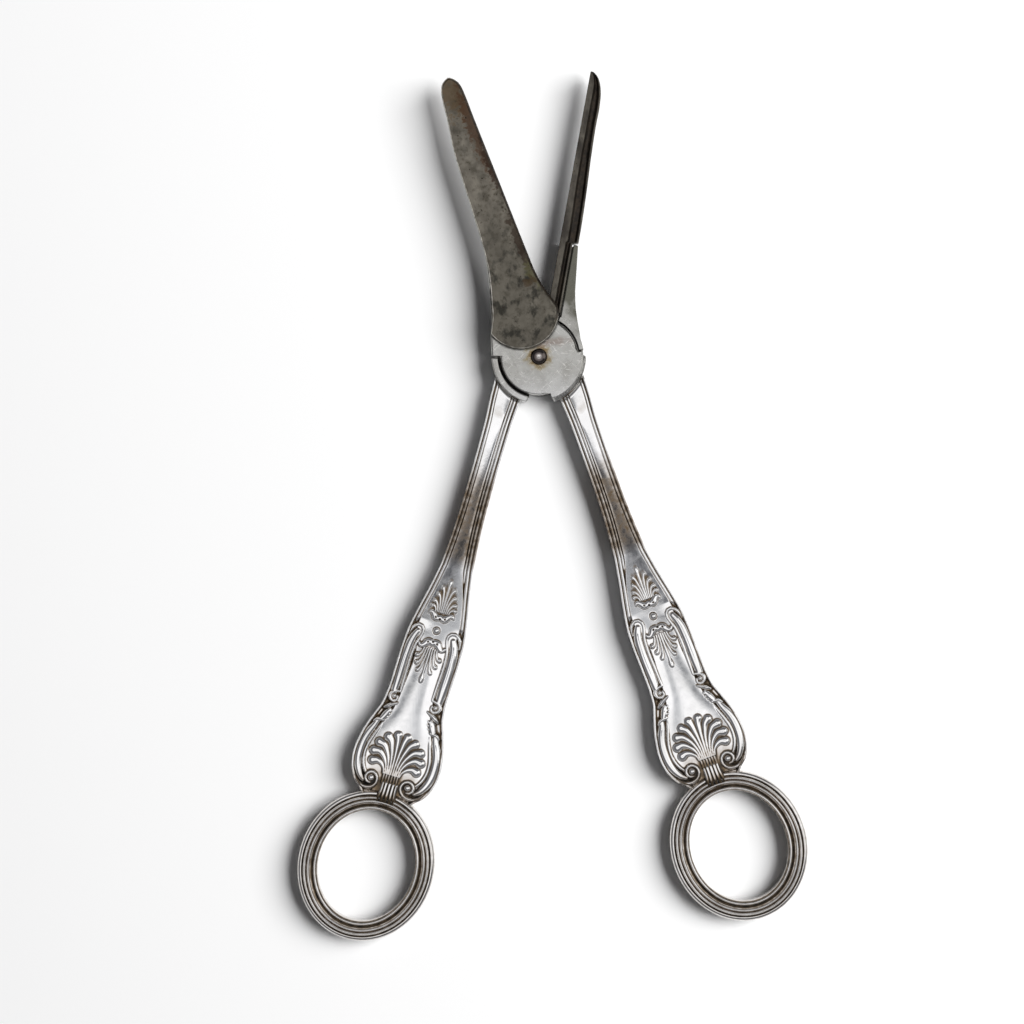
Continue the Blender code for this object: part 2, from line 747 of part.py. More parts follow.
def add_binding(bm, reach):
    """Strands laid side by side along the handle's end, lapping over the ring on both faces."""
    pitch = BINDING_WIDTH / BINDING_STRANDS
    ridges = []
    for i in range(BINDING_STRANDS):
        across = -BINDING_WIDTH / 2 + i * pitch
        ridges += [(across + share * pitch, height) for share, height in STRAND_SHARES]
    ridges.append((BINDING_WIDTH / 2, STRAND_SHARES[0][1]))
    tops = []
    for from_end in (BINDING_TOP, -BINDING_LAP):
        x, y = on_pattern(reach, 0, from_end)
        tops.append([(x + across, y, share * FAR) for across, share in ridges])
    add_two_faced(bm, tops)


def ring_centre(reach):
    return -RING_OFFSET, -reach - RING_DISTANCE


def section_curve(name, shares, margin):
    """A closed ring section in shares of the band's half width and thickness, grown by a margin."""
    half_band = RING_BAND_WIDTH / 2 + margin
    half_thick = RING_THICKNESS / 2 + margin
    upper = [(radial * half_band, z * half_thick) for radial, z in shares]
    lower = [(radial, -z) for radial, z in reversed(upper) if z > 0]
    return poly_curve(name, upper + lower)


def poly_curve(name, points):
    curve = bpy.data.curves.new(name, "CURVE")
    curve.dimensions = "2D"
    curve.fill_mode = "NONE"
    spline = curve.splines.new("POLY")
    spline.points.add(len(points) - 1)
    for point, (x, y) in zip(spline.points, points):
        point.co = (x, y, 0, 1)
    spline.use_cyclic_u = True
    return curve


def oval_band(name, shares, margin):
    """Carries a ring section round the oval that runs through the middle of the band."""
    across = RING_HOLE_HALF_WIDTH + RING_BAND_WIDTH / 2
    along = RING_HOLE_HALF_LENGTH + RING_BAND_WIDTH / 2
    angles = [2 * math.pi * i / RING_STEPS for i in range(RING_STEPS)]
    path = poly_curve(name, [(across * math.cos(a), along * math.sin(a)) for a in angles])
    profile = section_curve(name + "_section", shares, margin)
    section = bpy.data.objects.new(name + "_section", profile)
    carrier = bpy.data.objects.new(name + "_path", path)
    for helper in (section, carrier):
        CUTTERS.objects.link(helper)
    path.bevel_mode = "OBJECT"
    path.bevel_object = section
    graph = bpy.context.evaluated_depsgraph_get()
    mesh = bpy.data.meshes.new_from_object(carrier.evaluated_get(graph))
    bm = bmesh.new()
    bm.from_mesh(mesh)
    bmesh.ops.remove_doubles(bm, verts=bm.verts, dist=MERGE)
    for helper in (carrier, section):
        bpy.data.objects.remove(helper, do_unlink=True)
    bpy.data.meshes.remove(mesh)
    return bm


def handle(name, reach, parent):
    """A cast handle: lofted body, ornament and binding, cut to seat on its joint plate and ring."""
    body = bmesh.new()
    add_two_faced(body, [handle_section(reach, distance) for distance in handle_stations(reach)])
    made = new_piece(name, body, parent, SILVER)
    raised = bmesh.new()
    add_ornament(raised, reach)
    add_binding(raised, reach)
    combine(made, name + "_ornament", raised, "UNION")
    seat = oval_band(name + "_ring_seat", RING_SEAT_SHARES, SEAT_GAP)
    bmesh.ops.translate(seat, verts=seat.verts, vec=(*ring_centre(reach), 0))
    combine(made, name + "_ring_seat", seat, "DIFFERENCE")
    collar = bmesh.new()
    radius = COLLAR_OUTER + SEAT_GAP
    add_cylinder(collar, radius, radius, OUTER - OVERRUN, FAR + OVERRUN)
    combine(made, name + "_collar_seat", collar, "DIFFERENCE")
    return made


def finger_ring(name, reach, parent):
    ring = new_piece(name, oval_band(name, RING_SECTION_SHARES, 0), parent, SILVER)
    ring.location = (*ring_centre(reach), 0)
    return ring


def half_frame(name, turn):
    """The frame of one half, on the pivot at half the height of the lapped plates."""
    frame = new_empty(name)
    frame.location = (0, 0, STACK / 2)
    frame.rotation_euler = (0, turn, 0)
    return frame


def handle_frame(name, parent):
    frame = new_empty(name, parent)
    frame.rotation_euler = (0, 0, -HANDLE_ANGLE)
    return frame


def build():
    rear = half_frame("rear_half", 0)
    front = half_frame("front_half", math.pi)
    joint_plate("rear_joint_plate", rear, add_rear_tongue, rear_bore())
    joint_plate("front_joint_plate", front, add_front_tongue, front_bore())
    rear_blade(rear)
    front_blade(front)
    pivot_rivet(rear)
    left = handle_frame("left_handle_frame", rear)
    right = handle_frame("right_handle_frame", front)
    handle("left_handle", LEFT_HANDLE_REACH, left)
    handle("right_handle", RIGHT_HANDLE_REACH, right)
    finger_ring("left_finger_ring", LEFT_HANDLE_REACH, left)
    finger_ring("right_finger_ring", RIGHT_HANDLE_REACH, right)


clear_scene()
PIECES = new_collection("grape_shears")
CUTTERS = new_collection("cutters")
SILVER = new_material("silver_plate", (0.78, 0.77, 0.74), 0.18)
STEEL = new_material("blade_steel", (0.42, 0.40, 0.38), 0.32)
RIVET_STEEL = new_material("rivet_steel", (0.25, 0.20, 0.16), 0.45)
build()
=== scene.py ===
"""Looks of a pair of silver-plated grape shears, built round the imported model.

Shapes are worked out in millimetres and put into the meshes in metres. A handle is described by the
distance from its wide end, up the handle, and by the offset from its middle line, outwards.
"""

import math

import bmesh
import bpy
import numpy as np
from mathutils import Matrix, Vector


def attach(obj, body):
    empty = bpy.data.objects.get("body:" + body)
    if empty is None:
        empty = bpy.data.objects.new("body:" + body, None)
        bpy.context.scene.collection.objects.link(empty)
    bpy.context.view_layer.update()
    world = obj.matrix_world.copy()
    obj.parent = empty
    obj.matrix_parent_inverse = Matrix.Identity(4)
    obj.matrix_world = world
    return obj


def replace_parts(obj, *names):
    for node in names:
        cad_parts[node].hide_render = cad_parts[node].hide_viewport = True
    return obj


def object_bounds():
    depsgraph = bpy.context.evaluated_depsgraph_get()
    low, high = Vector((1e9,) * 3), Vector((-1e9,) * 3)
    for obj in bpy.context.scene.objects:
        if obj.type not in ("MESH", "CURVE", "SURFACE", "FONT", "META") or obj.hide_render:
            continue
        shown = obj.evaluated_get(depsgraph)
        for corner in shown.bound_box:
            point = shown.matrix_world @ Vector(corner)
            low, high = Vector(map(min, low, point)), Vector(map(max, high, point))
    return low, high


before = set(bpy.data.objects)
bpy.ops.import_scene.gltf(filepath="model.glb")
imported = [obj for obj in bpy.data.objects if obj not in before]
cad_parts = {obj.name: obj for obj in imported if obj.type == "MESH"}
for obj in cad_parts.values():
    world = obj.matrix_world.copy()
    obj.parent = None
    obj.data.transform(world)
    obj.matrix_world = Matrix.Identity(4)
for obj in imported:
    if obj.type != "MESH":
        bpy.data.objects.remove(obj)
cad_low, cad_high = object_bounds()

MM = 0.001

# The frame that both halves share, in millimetres
HANDLE_ANGLE = math.radians(18.5)
MIDDLE = 2.35
LEFT_REACH = 92.5
RIGHT_REACH = 90.7
SEAT_RADIUS = 9.6

# Handle outline: place as a share of the pattern's length, half width as a share of the widest
PATTERN = 47.5
WIDEST = 9.05
WIDTHS = (
    (-0.03, 0.52), (0.0, 0.66), (0.02, 0.78), (0.053, 0.89), (0.105, 0.98), (0.158, 1.0), (0.21, 0.965),
    (0.263, 0.90), (0.316, 0.807), (0.368, 0.715), (0.42, 0.68), (0.526, 0.674), (0.63, 0.674),
    (0.695, 0.657), (0.79, 0.575), (0.895, 0.464), (1.0, 0.37),
)
SHANK_WIDTHS = ((0.0, 3.1), (0.2, 2.85), (0.4, 2.67), (0.6, 2.6), (0.75, 2.67), (0.88, 2.92), (1.0, 3.35))
AXIS_OFFSET = 3.85
AXIS = (
    (0.05, 1.07), (0.25, 1.0), (0.4, 0.95), (0.5, 0.905), (0.6, 0.905), (0.75, 0.945), (0.9, 0.99),
    (1.02, 1.0),
)

# Rings: middle of the hole from the wide end and from the pivot line, and the oval's half sizes
RING_DISTANCE = 14.8
RING_OFFSET = 3.75
HOLE = (9.6, 11.2)
BAND = 4.0


def through(rows, x):
    """The value at x on a smooth curve through rows of (place, value): cubic pieces between
    neighbouring rows, with the slope at a row taken from the rows on both sides of it."""
    place, value = np.array(rows, float).T
    slope = np.gradient(value, place)
    x = np.clip(np.asarray(x, float), place[0], place[-1])
    i = np.clip(np.searchsorted(place, x) - 1, 0, len(place) - 2)
    step = place[i + 1] - place[i]
    t = (x - place[i]) / step
    ends = (2 * t**3 - 3 * t**2 + 1) * value[i] + (3 * t**2 - 2 * t**3) * value[i + 1]
    return ends + step * ((t**3 - 2 * t**2 + t) * slope[i] + (t**3 - t**2) * slope[i + 1])


def ramp(x, low, high):
    """0 below low, 1 above high, and a smooth S between them."""
    t = np.clip((x - low) / (high - low), 0, 1)
    return t * t * (3 - 2 * t)


def round_over(distance, half_width, top, drop):
    """Height of a rounded ridge: its top less a drop that grows with the square of the share of the half
    width, then a straight flank that falls twice as far as it runs."""
    far = np.abs(distance)
    return top - drop * np.minimum(far / half_width, 1) ** 2 - 2 * np.maximum(far - half_width, 0)


def curve_points(points, count):
    """Points at even steps along a smooth curve through given rows of numbers, measured by the
    length of the polygon through the first two columns."""
    points = np.array(points, float)
    along = np.concatenate([[0], np.cumsum(np.hypot(*np.diff(points[:, :2], axis=0).T))])
    x = np.linspace(0, along[-1], count)
    return np.stack([through(np.stack([along, column], 1), x) for column in points.T], 1)


# How far past a ridge's edge a stroke reaches down its flank, and the most that a ridge's top drops
FLANK = 0.3
RIDGE_DROP = 0.4


def carve(height, across, along, stroke, steps=24):
    """Raises a height field to a ridge along a curve of rows (across, along, half width, top): at each
    piece of the curve the ridge is round_over of the distance to that piece."""
    rows = curve_points(stroke, steps)
    for first, second in zip(rows, rows[1:]):
        reach = max(first[2], second[2]) + FLANK
        low = np.minimum(first[:2], second[:2]) - reach
        high = np.maximum(first[:2], second[:2]) + reach
        near = (across > low[0]) & (across < high[0]) & (along > low[1]) & (along < high[1])
        if not near.any():
            continue
        x, y = across[near] - first[0], along[near] - first[1]
        dx, dy = second[0] - first[0], second[1] - first[1]
        t = np.clip((x * dx + y * dy) / (dx * dx + dy * dy + 1e-12), 0, 1)
        distance = np.hypot(x - t * dx, y - t * dy)
        half_width = first[2] + t * (second[2] - first[2])
        top = first[3] + t * (second[3] - first[3])
        ridge = round_over(distance, half_width, top, np.minimum(0.5 * half_width, RIDGE_DROP))
        height[near] = np.maximum(height[near], ridge)


def add_object(name, data):
    """An object in the scene that holds a mesh, a lamp or a camera."""
    made = bpy.data.objects.new(name, data)
    bpy.context.scene.collection.objects.link(made)
    return made


def new_mesh(name, points, quads, material, caps=()):
    """An object from points in millimetres, quads and many-sided end caps, smooth shaded."""
    corners = np.concatenate([quads.ravel(), *caps]).astype(np.int32)
    sizes = np.array([4] * len(quads) + [len(cap) for cap in caps])
    starts = np.concatenate([[0], np.cumsum(sizes)[:-1]]).astype(np.int32)
    mesh = bpy.data.meshes.new(name)
    mesh.vertices.add(len(points))
    mesh.vertices.foreach_set("co", (points * MM).astype(np.float32).ravel())
    mesh.loops.add(len(corners))
    mesh.loops.foreach_set("vertex_index", corners)
    mesh.polygons.add(len(sizes))
    mesh.polygons.foreach_set("loop_start", starts)
    mesh.update(calc_edges=True)
    mesh.shade_smooth()
    mesh.materials.append(material)
    return add_object(name, mesh)


def grid_quads(rows, columns, close_rows=False, close_columns=False):
    """Quads of a grid whose points are numbered row by row, joined round where it closes."""
    i = np.arange(rows if close_rows else rows - 1)
    j = np.arange(columns if close_columns else columns - 1)
    i, j = np.meshgrid(i, j, indexing="ij")
    k, m = (i + 1) % rows, (j + 1) % columns
    return np.stack([i * columns + j, i * columns + m, k * columns + m, k * columns + j], -1).reshape(-1, 4)


def loft(name, rows, material, outwards=True):
    """A closed skin over rows of equally many points round a piece, from its first row to its last,
    with a cap at each end."""
    count, columns = rows.shape[:2]
    quads = grid_quads(count, columns, close_columns=True)
    first = np.arange(columns)[::-1]
    last = np.arange(columns) + (count - 1) * columns
    if not outwards:
        quads, first, last = quads[:, ::-1], first[::-1], last[::-1]
    return new_mesh(name, rows.reshape(-1, 3), quads, material, [first, last])


def crisp(piece, degrees):
    """Keeps edges sharper than an angle as creases in the smooth shading."""
    piece.data.set_sharp_from_angle(angle=math.radians(degrees))


def mark(piece, name, values):
    """Stores one number for each point, for the material to read."""
    attribute = piece.data.attributes.new(name, "FLOAT", "POINT")
    attribute.data.foreach_set("value", values.astype(np.float32).ravel())


def hollow(height, reach):
    """How far each point of a height field lies below the average of the points round it."""
    blurred = height
    for axis in (0, 1):
        padding = [(reach, reach) if axis == n else (0, 0) for n in (0, 1)]
        total = np.cumsum(np.pad(blurred, padding, mode="edge"), axis=axis)
        blurred = (np.take(total, range(2 * reach, total.shape[axis]), axis)
                   - np.take(total, range(total.shape[axis] - 2 * reach), axis)) / (2 * reach)
    return blurred - height


# Materials


def metres(values):
    return [value * MM for value in values]


def linear(code):
    """The linear colour of an sRGB hex value."""
    channels = [int(code[i : i + 2], 16) / 255 for i in (1, 3, 5)]
    return [c / 12.92 if c <= 0.04045 else ((c + 0.055) / 1.055) ** 2.4 for c in channels] + [1.0]


def fill(tree, socket, value):
    """Gives an input a number, a list, a hex colour or the output of another node."""
    if isinstance(value, bpy.types.NodeSocket):
        tree.links.new(value, socket)
    else:
        socket.default_value = linear(value) if isinstance(value, str) else value


def add_node(tree, kind, *inputs, output=None, **settings):
    """Adds a node and gives its first output in use, or the one that is named. The inputs in use are
    filled in their order, and None leaves one as it is. A Map Range's are the value, the range it comes
    from and the range it goes to, and a colour Mix's are the share and the two colours."""
    node = tree.nodes.new("ShaderNode" + kind)
    for name, value in settings.items():
        setattr(node, name, value)
    for socket, value in zip([socket for socket in node.inputs if socket.enabled], inputs):
        if value is not None:
            fill(tree, socket, value)
    in_use = [socket for socket in node.outputs if socket.enabled]
    return node.outputs[output] if output else in_use[0]


def new_material(name):
    made = bpy.data.materials.new(name)
    made.use_nodes = True
    return made, made.node_tree


def feed_surface(tree, values):
    """Fills inputs of a material's Principled BSDF, by name."""
    for name, value in values.items():
        fill(tree, tree.nodes["Principled BSDF"].inputs[name], value)


def oval_distance(tree, place, centre, scale):
    """How far a place lies from a centre, with each axis scaled first."""
    moved = add_node(tree, "VectorMath", place, centre, operation="SUBTRACT")
    shaped = add_node(tree, "VectorMath", moved, scale, operation="MULTIPLY")
    return add_node(tree, "VectorMath", shaped, operation="LENGTH")


def object_noise(tree, size_mm, detail, stretch=(1, 1, 1), roughness=0.5, turn=0.0):
    """Noise on object coordinates whose features are about size_mm across, turned and stretched."""
    place = add_node(tree, "TexCoord", output="Object")
    if turn:
        place = add_node(tree, "Mapping", place, None, (0, 0, turn))
    shaped = add_node(tree, "Mapping", place, None, None, [s / (size_mm * MM) for s in stretch])
    return add_node(tree, "TexNoise", shaped, 1.0, detail, roughness)


def patch(tree, place, centre, size, ragged, break_up):
    """1 inside an oval given in millimetres of a place vector, falling to 0 at its broken outline."""
    far = oval_distance(tree, place, metres(centre), [1 / (v * MM) for v in size])
    broken = add_node(tree, "MapRange", ragged, 0.3, 0.7, -break_up, break_up)
    return add_node(tree, "MapRange", add_node(tree, "Math", far, broken, operation="ADD"), 1.25, 0.7)


def graded(tree, value, span, first, second):
    """Goes from one colour to another while a value crosses a span: its two ends, then the least and
    the greatest share of the second colour where these aren't 0 and 1."""
    share = add_node(tree, "MapRange", value, *span)
    return add_node(tree, "Mix", share, first, second, data_type="RGBA")


def stained(tree, clean, share, strength, tone):
    """A colour turned to a tone where a share is 1, up to a strength."""
    share = add_node(tree, "Math", share, strength, operation="MULTIPLY")
    return add_node(tree, "Mix", share, clean, tone, data_type="RGBA")


def burnish_marks(tree, strength):
    """Hairline scratches in three directions, drawn coarser than real ones so that they show, and the
    broad unevenness of a hand-buffed face."""
    both = object_noise(tree, 2.4, 1.0)
    for size, turn in ((0.3, 0.0), (0.42, 1.2), (0.36, 2.3)):
        hairs = object_noise(tree, size, 2.0, (1, 0.05, 1), turn=turn)
        both = add_node(tree, "Math", both, hairs, operation="ADD")
    feed_surface(tree, {"Normal": add_node(tree, "Bump", strength, 0.02 * MM, None, both)})


def soiled_and_shaded(tree, share, clean, clean_rough):
    """Feeds a surface with clean metal where share is 0 and near-black sulphide and wax where it is 1:
    darker, duller and less metallic. Where the share holds painted shade, the same dark colour paints it."""
    dirt_and_shade_tone = graded(tree, object_noise(tree, 2.5, 3.0), (0.4, 0.65), "#181715", "#2e2922")
    duller = add_node(tree, "Math", share, 0.35, operation="MULTIPLY")
    feed_surface(tree, {
        "Base Color": add_node(tree, "Mix", share, clean, dirt_and_shade_tone, data_type="RGBA"),
        "Roughness": add_node(tree, "Math", clean_rough, duller, operation="ADD"),
        "Metallic": add_node(tree, "MapRange", share, 0.3, 1.0, 1.0, 0.35),
    })


def struck_silver_plate():
    """Silver electroplated on nickel silver, die-struck and burnished, then used for decades. The eye
    sees a warm white metal with hairline scratches, and grey-brown sulphide left in every hollow, where
    the colour is darkened further as painted shade."""
    made, tree = new_material("silver_plate_struck")
    stain = object_noise(tree, 1.2, 4.0)
    # Darkness read from the mesh: sulphide, with painted shade in the hollows
    depth = add_node(tree, "Attribute", output="Fac", attribute_name="tarnish_and_shade")
    grain = add_node(tree, "MapRange", stain, 0.25, 0.7, 0.75, 1.3)
    uneven = add_node(tree, "Math", depth, grain, operation="MULTIPLY")
    clean = graded(tree, object_noise(tree, 6.0, 3.0), (0.35, 0.7), "#f7f6f5", "#e7e6e4")
    clean = graded(tree, uneven, (0.1, 0.6), clean, "#87735a")
    rough = add_node(tree, "MapRange", stain, 0.3, 0.75, 0.06, 0.14)
    soiled_and_shaded(tree, add_node(tree, "MapRange", uneven, 0.4, 1.0), clean, rough)
    burnish_marks(tree, 0.06)
    return made


# Grime and painted shade in the lap of the rear plate, where the gap under the front plate lies in
# shadow: it fades outwards between two distances from the pivot, and fills the heights between the
# lap's floor and the plate's edge. Heights and distances are in millimetres.
LAP_GRIME_AND_SHADE_RADII = (8.42, 8.24)
LAP_GRIME_AND_SHADE_TOP = (4.5, 4.1)
LAP_GRIME_AND_SHADE_FLOOR = (0.6, 1.0)
# Painted contact shadow, a broken dark line on the front plate: how far outside the arc of the blade's heel
# it ends and is full
HEEL_SHADOW_LINE = (0.45, 0.1)
# Where the part of the plates that is turned to the handles begins to brighten, and where it is bright
BRIGHT_PART = (-3, -9)
# Stains on the plates round the rivet: half sizes, break-up, strength, colour
RIVET_BLEEDS = (((2.5, 2.4, 99), 0.3, 0.8, "#998a63"), ((1.9, 1.85, 99), 0.2, 0.75, "#6b4f30"))


def ground_silver_plate(name, on_rear_half):
    """The flat faces of the joint, ground and plated, with the plate worn thin over grey nickel silver.
    The eye sees a dull satin grey with short scratches, a brown stain that has bled from the rivet,
    black grime and painted shade in the lap of the rear half, an olive bloom on its wall, a painted
    shadow round the blade's heel, and a brown stain below the heel with painted shadow in it."""
    made, tree = new_material(name)
    place = add_node(tree, "TexCoord", output="Object")
    cloud = object_noise(tree, 3.0, 4.0)
    stain = object_noise(tree, 0.9, 4.0)
    clean = graded(tree, cloud, (0.35, 0.7), "#bdbcb7", "#a19f99")
    for size, break_up, strength, tone in RIVET_BLEEDS:
        clean = stained(tree, clean, patch(tree, place, (0, 0, 0), size, stain, break_up), strength, tone)
    # Brown stain below the blade's heel, with the heel's shadow painted in it
    heel = patch(tree, place, (0.6, 3.0, FRONT_FACE), (4.6, 0.9, 99), cloud, 0.5)
    clean = stained(tree, clean, heel, 0.6, "#8b7a70")
    # Scratches, drawn coarser than real ones so that they show
    for turn in (0.8, 1.7, 2.5):
        scratch = object_noise(tree, 0.2, 1.0, (1, 0.12, 1), turn=turn)
        clean = graded(tree, scratch, (0.66, 0.78, 0.0, 0.6), clean, "#e9e7e1")
    toward_handles = add_node(tree, "SeparateXYZ", place, output="Y")
    clean = graded(tree, toward_handles, (*metres(BRIGHT_PART), 0.0, 0.6), clean, "#e6e6e5")
    share = add_node(tree, "MapRange", stain, 0.76, 0.9)
    if on_rear_half:
        bloom = patch(tree, place, (8.2, 19.0, 4.0), (5.0, 12.0, 99), cloud, 0.4)
        clean = add_node(tree, "Mix", bloom, clean, "#6a695f", data_type="RGBA")
        # Black in the lap: grime and painted shade
        share = lap_grime_and_shade(tree, place, share)
    else:
        # Painted contact shadow round the blade's heel
        share = heel_painted_shadow(tree, place, stain, share)
    soiled_and_shaded(tree, share, clean, add_node(tree, "MapRange", stain, 0.3, 0.75, 0.24, 0.36))
    burnish_marks(tree, 0.3)
    return made


def lap_grime_and_shade(tree, place, share):
    """Adds to a share of grime what fills the lap: grime and painted shade, in a disc round the pivot,
    weaker towards the blades, between two heights."""
    far = oval_distance(tree, place, (0, 0, 0), (1, 1, 0))
    inside = add_node(tree, "MapRange", far, *metres(LAP_GRIME_AND_SHADE_RADII))
    along, height = (add_node(tree, "SeparateXYZ", place, output=axis) for axis in "YZ")
    weaker = add_node(tree, "MapRange", along, 1.0 * MM, -1.0 * MM, 0.25, 1.0)
    inside = add_node(tree, "Math", inside, weaker, operation="MULTIPLY")
    under = add_node(tree, "MapRange", height, *metres(LAP_GRIME_AND_SHADE_TOP))
    inside = add_node(tree, "Math", inside, under, operation="MULTIPLY")
    share = add_node(tree, "Math", share, inside, operation="MAXIMUM")
    above = add_node(tree, "MapRange", height, *metres(LAP_GRIME_AND_SHADE_FLOOR))
    return add_node(tree, "Math", share, above, operation="MULTIPLY")


def heel_painted_shadow(tree, place, stain, share):
    """Adds to a share of grime a broken dark line on the plate round the arc of the blade's heel: a painted
    contact shadow of the blade.
    """
    across, along = HEEL_MIDDLE * math.sin(FRONT_BLADE_ANGLE), HEEL_MIDDLE * math.cos(FRONT_BLADE_ANGLE)
    far = oval_distance(tree, place, metres((-across, along, FRONT_FACE)), (1, 1, 1))
    rim = add_node(tree, "MapRange", far, *metres(HEEL_RADIUS + out for out in HEEL_SHADOW_LINE), 0.0, 0.8)
    broken = add_node(tree, "MapRange", stain, 0.3, 0.6, 0.5, 1.0)
    rim = add_node(tree, "Math", rim, broken, operation="MULTIPLY")
    return add_node(tree, "Math", share, rim, operation="MAXIMUM")


# Stains of the front blade: middle and half sizes, both along and across the blade, colour, strength
BLADE_STAINS = (
    ((-3.4, 54.6), (2.6, 5.0), "#5b4a34", 0.75),
    ((-4.5, 47.0), (1.2, 9.0), "#4a3424", 0.8),
    ((-5.0, 38.5), (0.7, 6.0), "#35271e", 0.8),
    ((-4.7, 22.0), (0.9, 6.5), "#33271e", 0.8),
    ((-4.9, 15.5), (1.3, 2.6), "#5f5d42", 0.6),
    ((-3.8, 14.4), (1.7, 0.9), "#40301f", 0.7),
)
# Heights between which the rear blade's colour gives way to the front blade's, and places along the
# front blade between which it darkens to the heel
BLADE_HEIGHTS = (4.65, 4.85)
HEEL_SHADE = (32, 16)


def blade_patina(tree, broad, middle):
    """The colour of the front blade's patina, mottled and with a darker heel and stains, and the flatter
    grey-brown of the rear blade, which lies lower. Places are across and along the front blade."""
    colour = graded(tree, broad, (0.36, 0.64), "#645f56", "#8e887c")
    colour = graded(tree, middle, (0.5, 0.72), colour, "#565045")
    place = add_node(tree, "TexCoord", output="Object")
    turned = add_node(tree, "Mapping", place, None, (0, 0, -FRONT_BLADE_ANGLE))
    turned = add_node(tree, "VectorMath", turned, (-1, 1, 0), operation="MULTIPLY")
    height = add_node(tree, "SeparateXYZ", place, output="Z")
    upper = add_node(tree, "MapRange", height, *metres(BLADE_HEIGHTS))
    along = add_node(tree, "SeparateXYZ", turned, output="Y")
    heel = add_node(tree, "MapRange", along, *metres(HEEL_SHADE), 0.25, 0.85)
    colour = graded(tree, heel, (0.25, 0.85, 0.1, 0.6), colour, "#58544b")
    blooms = add_node(tree, "MapRange", object_noise(tree, 2.0, 4.0, (1, 0.7, 1), roughness=0.6), 0.5, 0.63)
    colour = stained(tree, colour, blooms, heel, "#2f2e29")
    lower = graded(tree, broad, (0.4, 0.6), "#6a655c", "#423e39")
    colour = add_node(tree, "Mix", upper, lower, colour, data_type="RGBA")
    for centre, size, tone, strength in BLADE_STAINS:
        share = patch(tree, turned, (*centre, 0), (*size, 1), middle, 0.8)
        share = add_node(tree, "Math", share, upper, operation="MULTIPLY")
        colour = stained(tree, colour, share, strength, tone)
    return colour


def old_blade_steel():
    """Forged carbon steel, ground flat and never stainless. The eye sees a mottled grey-brown
    patina with darker blooms and small pits, brown rust at the tip and along the cutting edge, a pale
    line along the plain edges that is bare metal and a painted highlight, and a soft broken shine.
    Ground channels are darker, with grime and painted shade."""
    made, tree = new_material("forged_carbon_steel")
    broad = object_noise(tree, 4.0, 6.0, (1, 0.6, 1), roughness=0.62)
    middle = object_noise(tree, 1.1, 5.0, roughness=0.65)
    freckle = object_noise(tree, 0.6, 3.0)
    colour = blade_patina(tree, broad, middle)
    colour = graded(tree, freckle, (0.66, 0.76), colour, "#2d241c")
    # Darkening from the mesh: tarnish and grime, with painted shade in the channel
    deep = add_node(tree, "Attribute", output="Fac", attribute_name="tarnish_and_shade")
    grime_and_shade = graded(tree, middle, (0.4, 0.6), "#26221f", "#453c33")
    colour = add_node(tree, "Mix", deep, colour, grime_and_shade, data_type="RGBA")
    # Pale line on the plain edges: bare metal and a painted highlight
    bare_and_highlight = add_node(tree, "Attribute", output="Fac", attribute_name="bare_edge_and_highlight")
    colour = stained(tree, colour, bare_and_highlight, add_node(tree, "MapRange", middle, 0.35, 0.6, 1.0, 0.3), "#f2ede2")
    pits = add_node(tree, "MapRange", freckle, 0.6, 0.75)
    pits = add_node(tree, "Math", pits, -1.0, operation="MULTIPLY")
    uneven = add_node(tree, "Math", middle, 0.4, operation="MULTIPLY")
    relief = add_node(tree, "Math", pits, uneven, operation="ADD")
    feed_surface(tree, {
        "Base Color": colour,
        "Metallic": 0.85,
        "Roughness": add_node(tree, "MapRange", middle, 0.3, 0.7, 0.32, 0.55),
        "Normal": add_node(tree, "Bump", 0.35, 0.05 * MM, None, relief),
    })
    return made


# The bright point of the rivet's dome: how far from its middle it starts to darken and is dark
RIVET_HIGHLIGHT = (0.15, 0.6)


def dark_rivet_steel():
    """Mild steel, headed over cold and blackened by age. The eye sees a near-black polished dome
    with one bright point and brown rust towards its edge."""
    made, tree = new_material("blackened_mild_steel")
    spots = object_noise(tree, 0.6, 3.0)
    place = add_node(tree, "TexCoord", output="Object")
    far = oval_distance(tree, place, (0, 0, 0), (1, 1, 0))
    colour = graded(tree, far, metres(RIVET_HIGHLIGHT), "#dcd7d2", "#625b58")
    colour = graded(tree, spots, (0.58, 0.75), colour, "#3a281d")
    rough = add_node(tree, "MapRange", spots, 0.4, 0.7, 0.1, 0.25)
    feed_surface(tree, {"Base Color": colour, "Metallic": 1.0, "Roughness": rough})
    return made


# Handles


def half_width(up):
    """Half width of a handle's pattern, up from its wide end."""
    return WIDEST * through(WIDTHS, up / PATTERN)


# Carving of the outer side. A stroke is a row of (across, up, half width, top) in millimetres:
# across from the handle's middle line, up from its wide end, top above its middle plane.
UPPER_SCROLL = (
    # thin reed, which rises into a hood over the broad one
    (
        (3.3, 20.7, 0.24, 1.9), (3.4, 24.0, 0.26, 1.98), (3.45, 28.5, 0.26, 1.98),
        (3.2, 30.8, 0.26, 1.98), (2.72, 32.2, 0.26, 2.0), (2.5, 33.2, 0.26, 2.02),
        (2.75, 34.15, 0.26, 2.02), (3.6, 34.6, 0.25, 2.0), (4.5, 34.15, 0.24, 1.95),
        (5.1, 33.2, 0.22, 1.85), (5.35, 32.0, 0.18, 1.6),
    ),
    # broad reed
    (
        (4.6, 20.3, 0.7, 2.0), (4.62, 22.5, 0.84, 2.12), (4.62, 28.5, 0.84, 2.12), (4.4, 31.0, 0.8, 2.12),
        (4.05, 32.3, 0.7, 2.08), (3.7, 33.1, 0.6, 2.0),
    ),
)
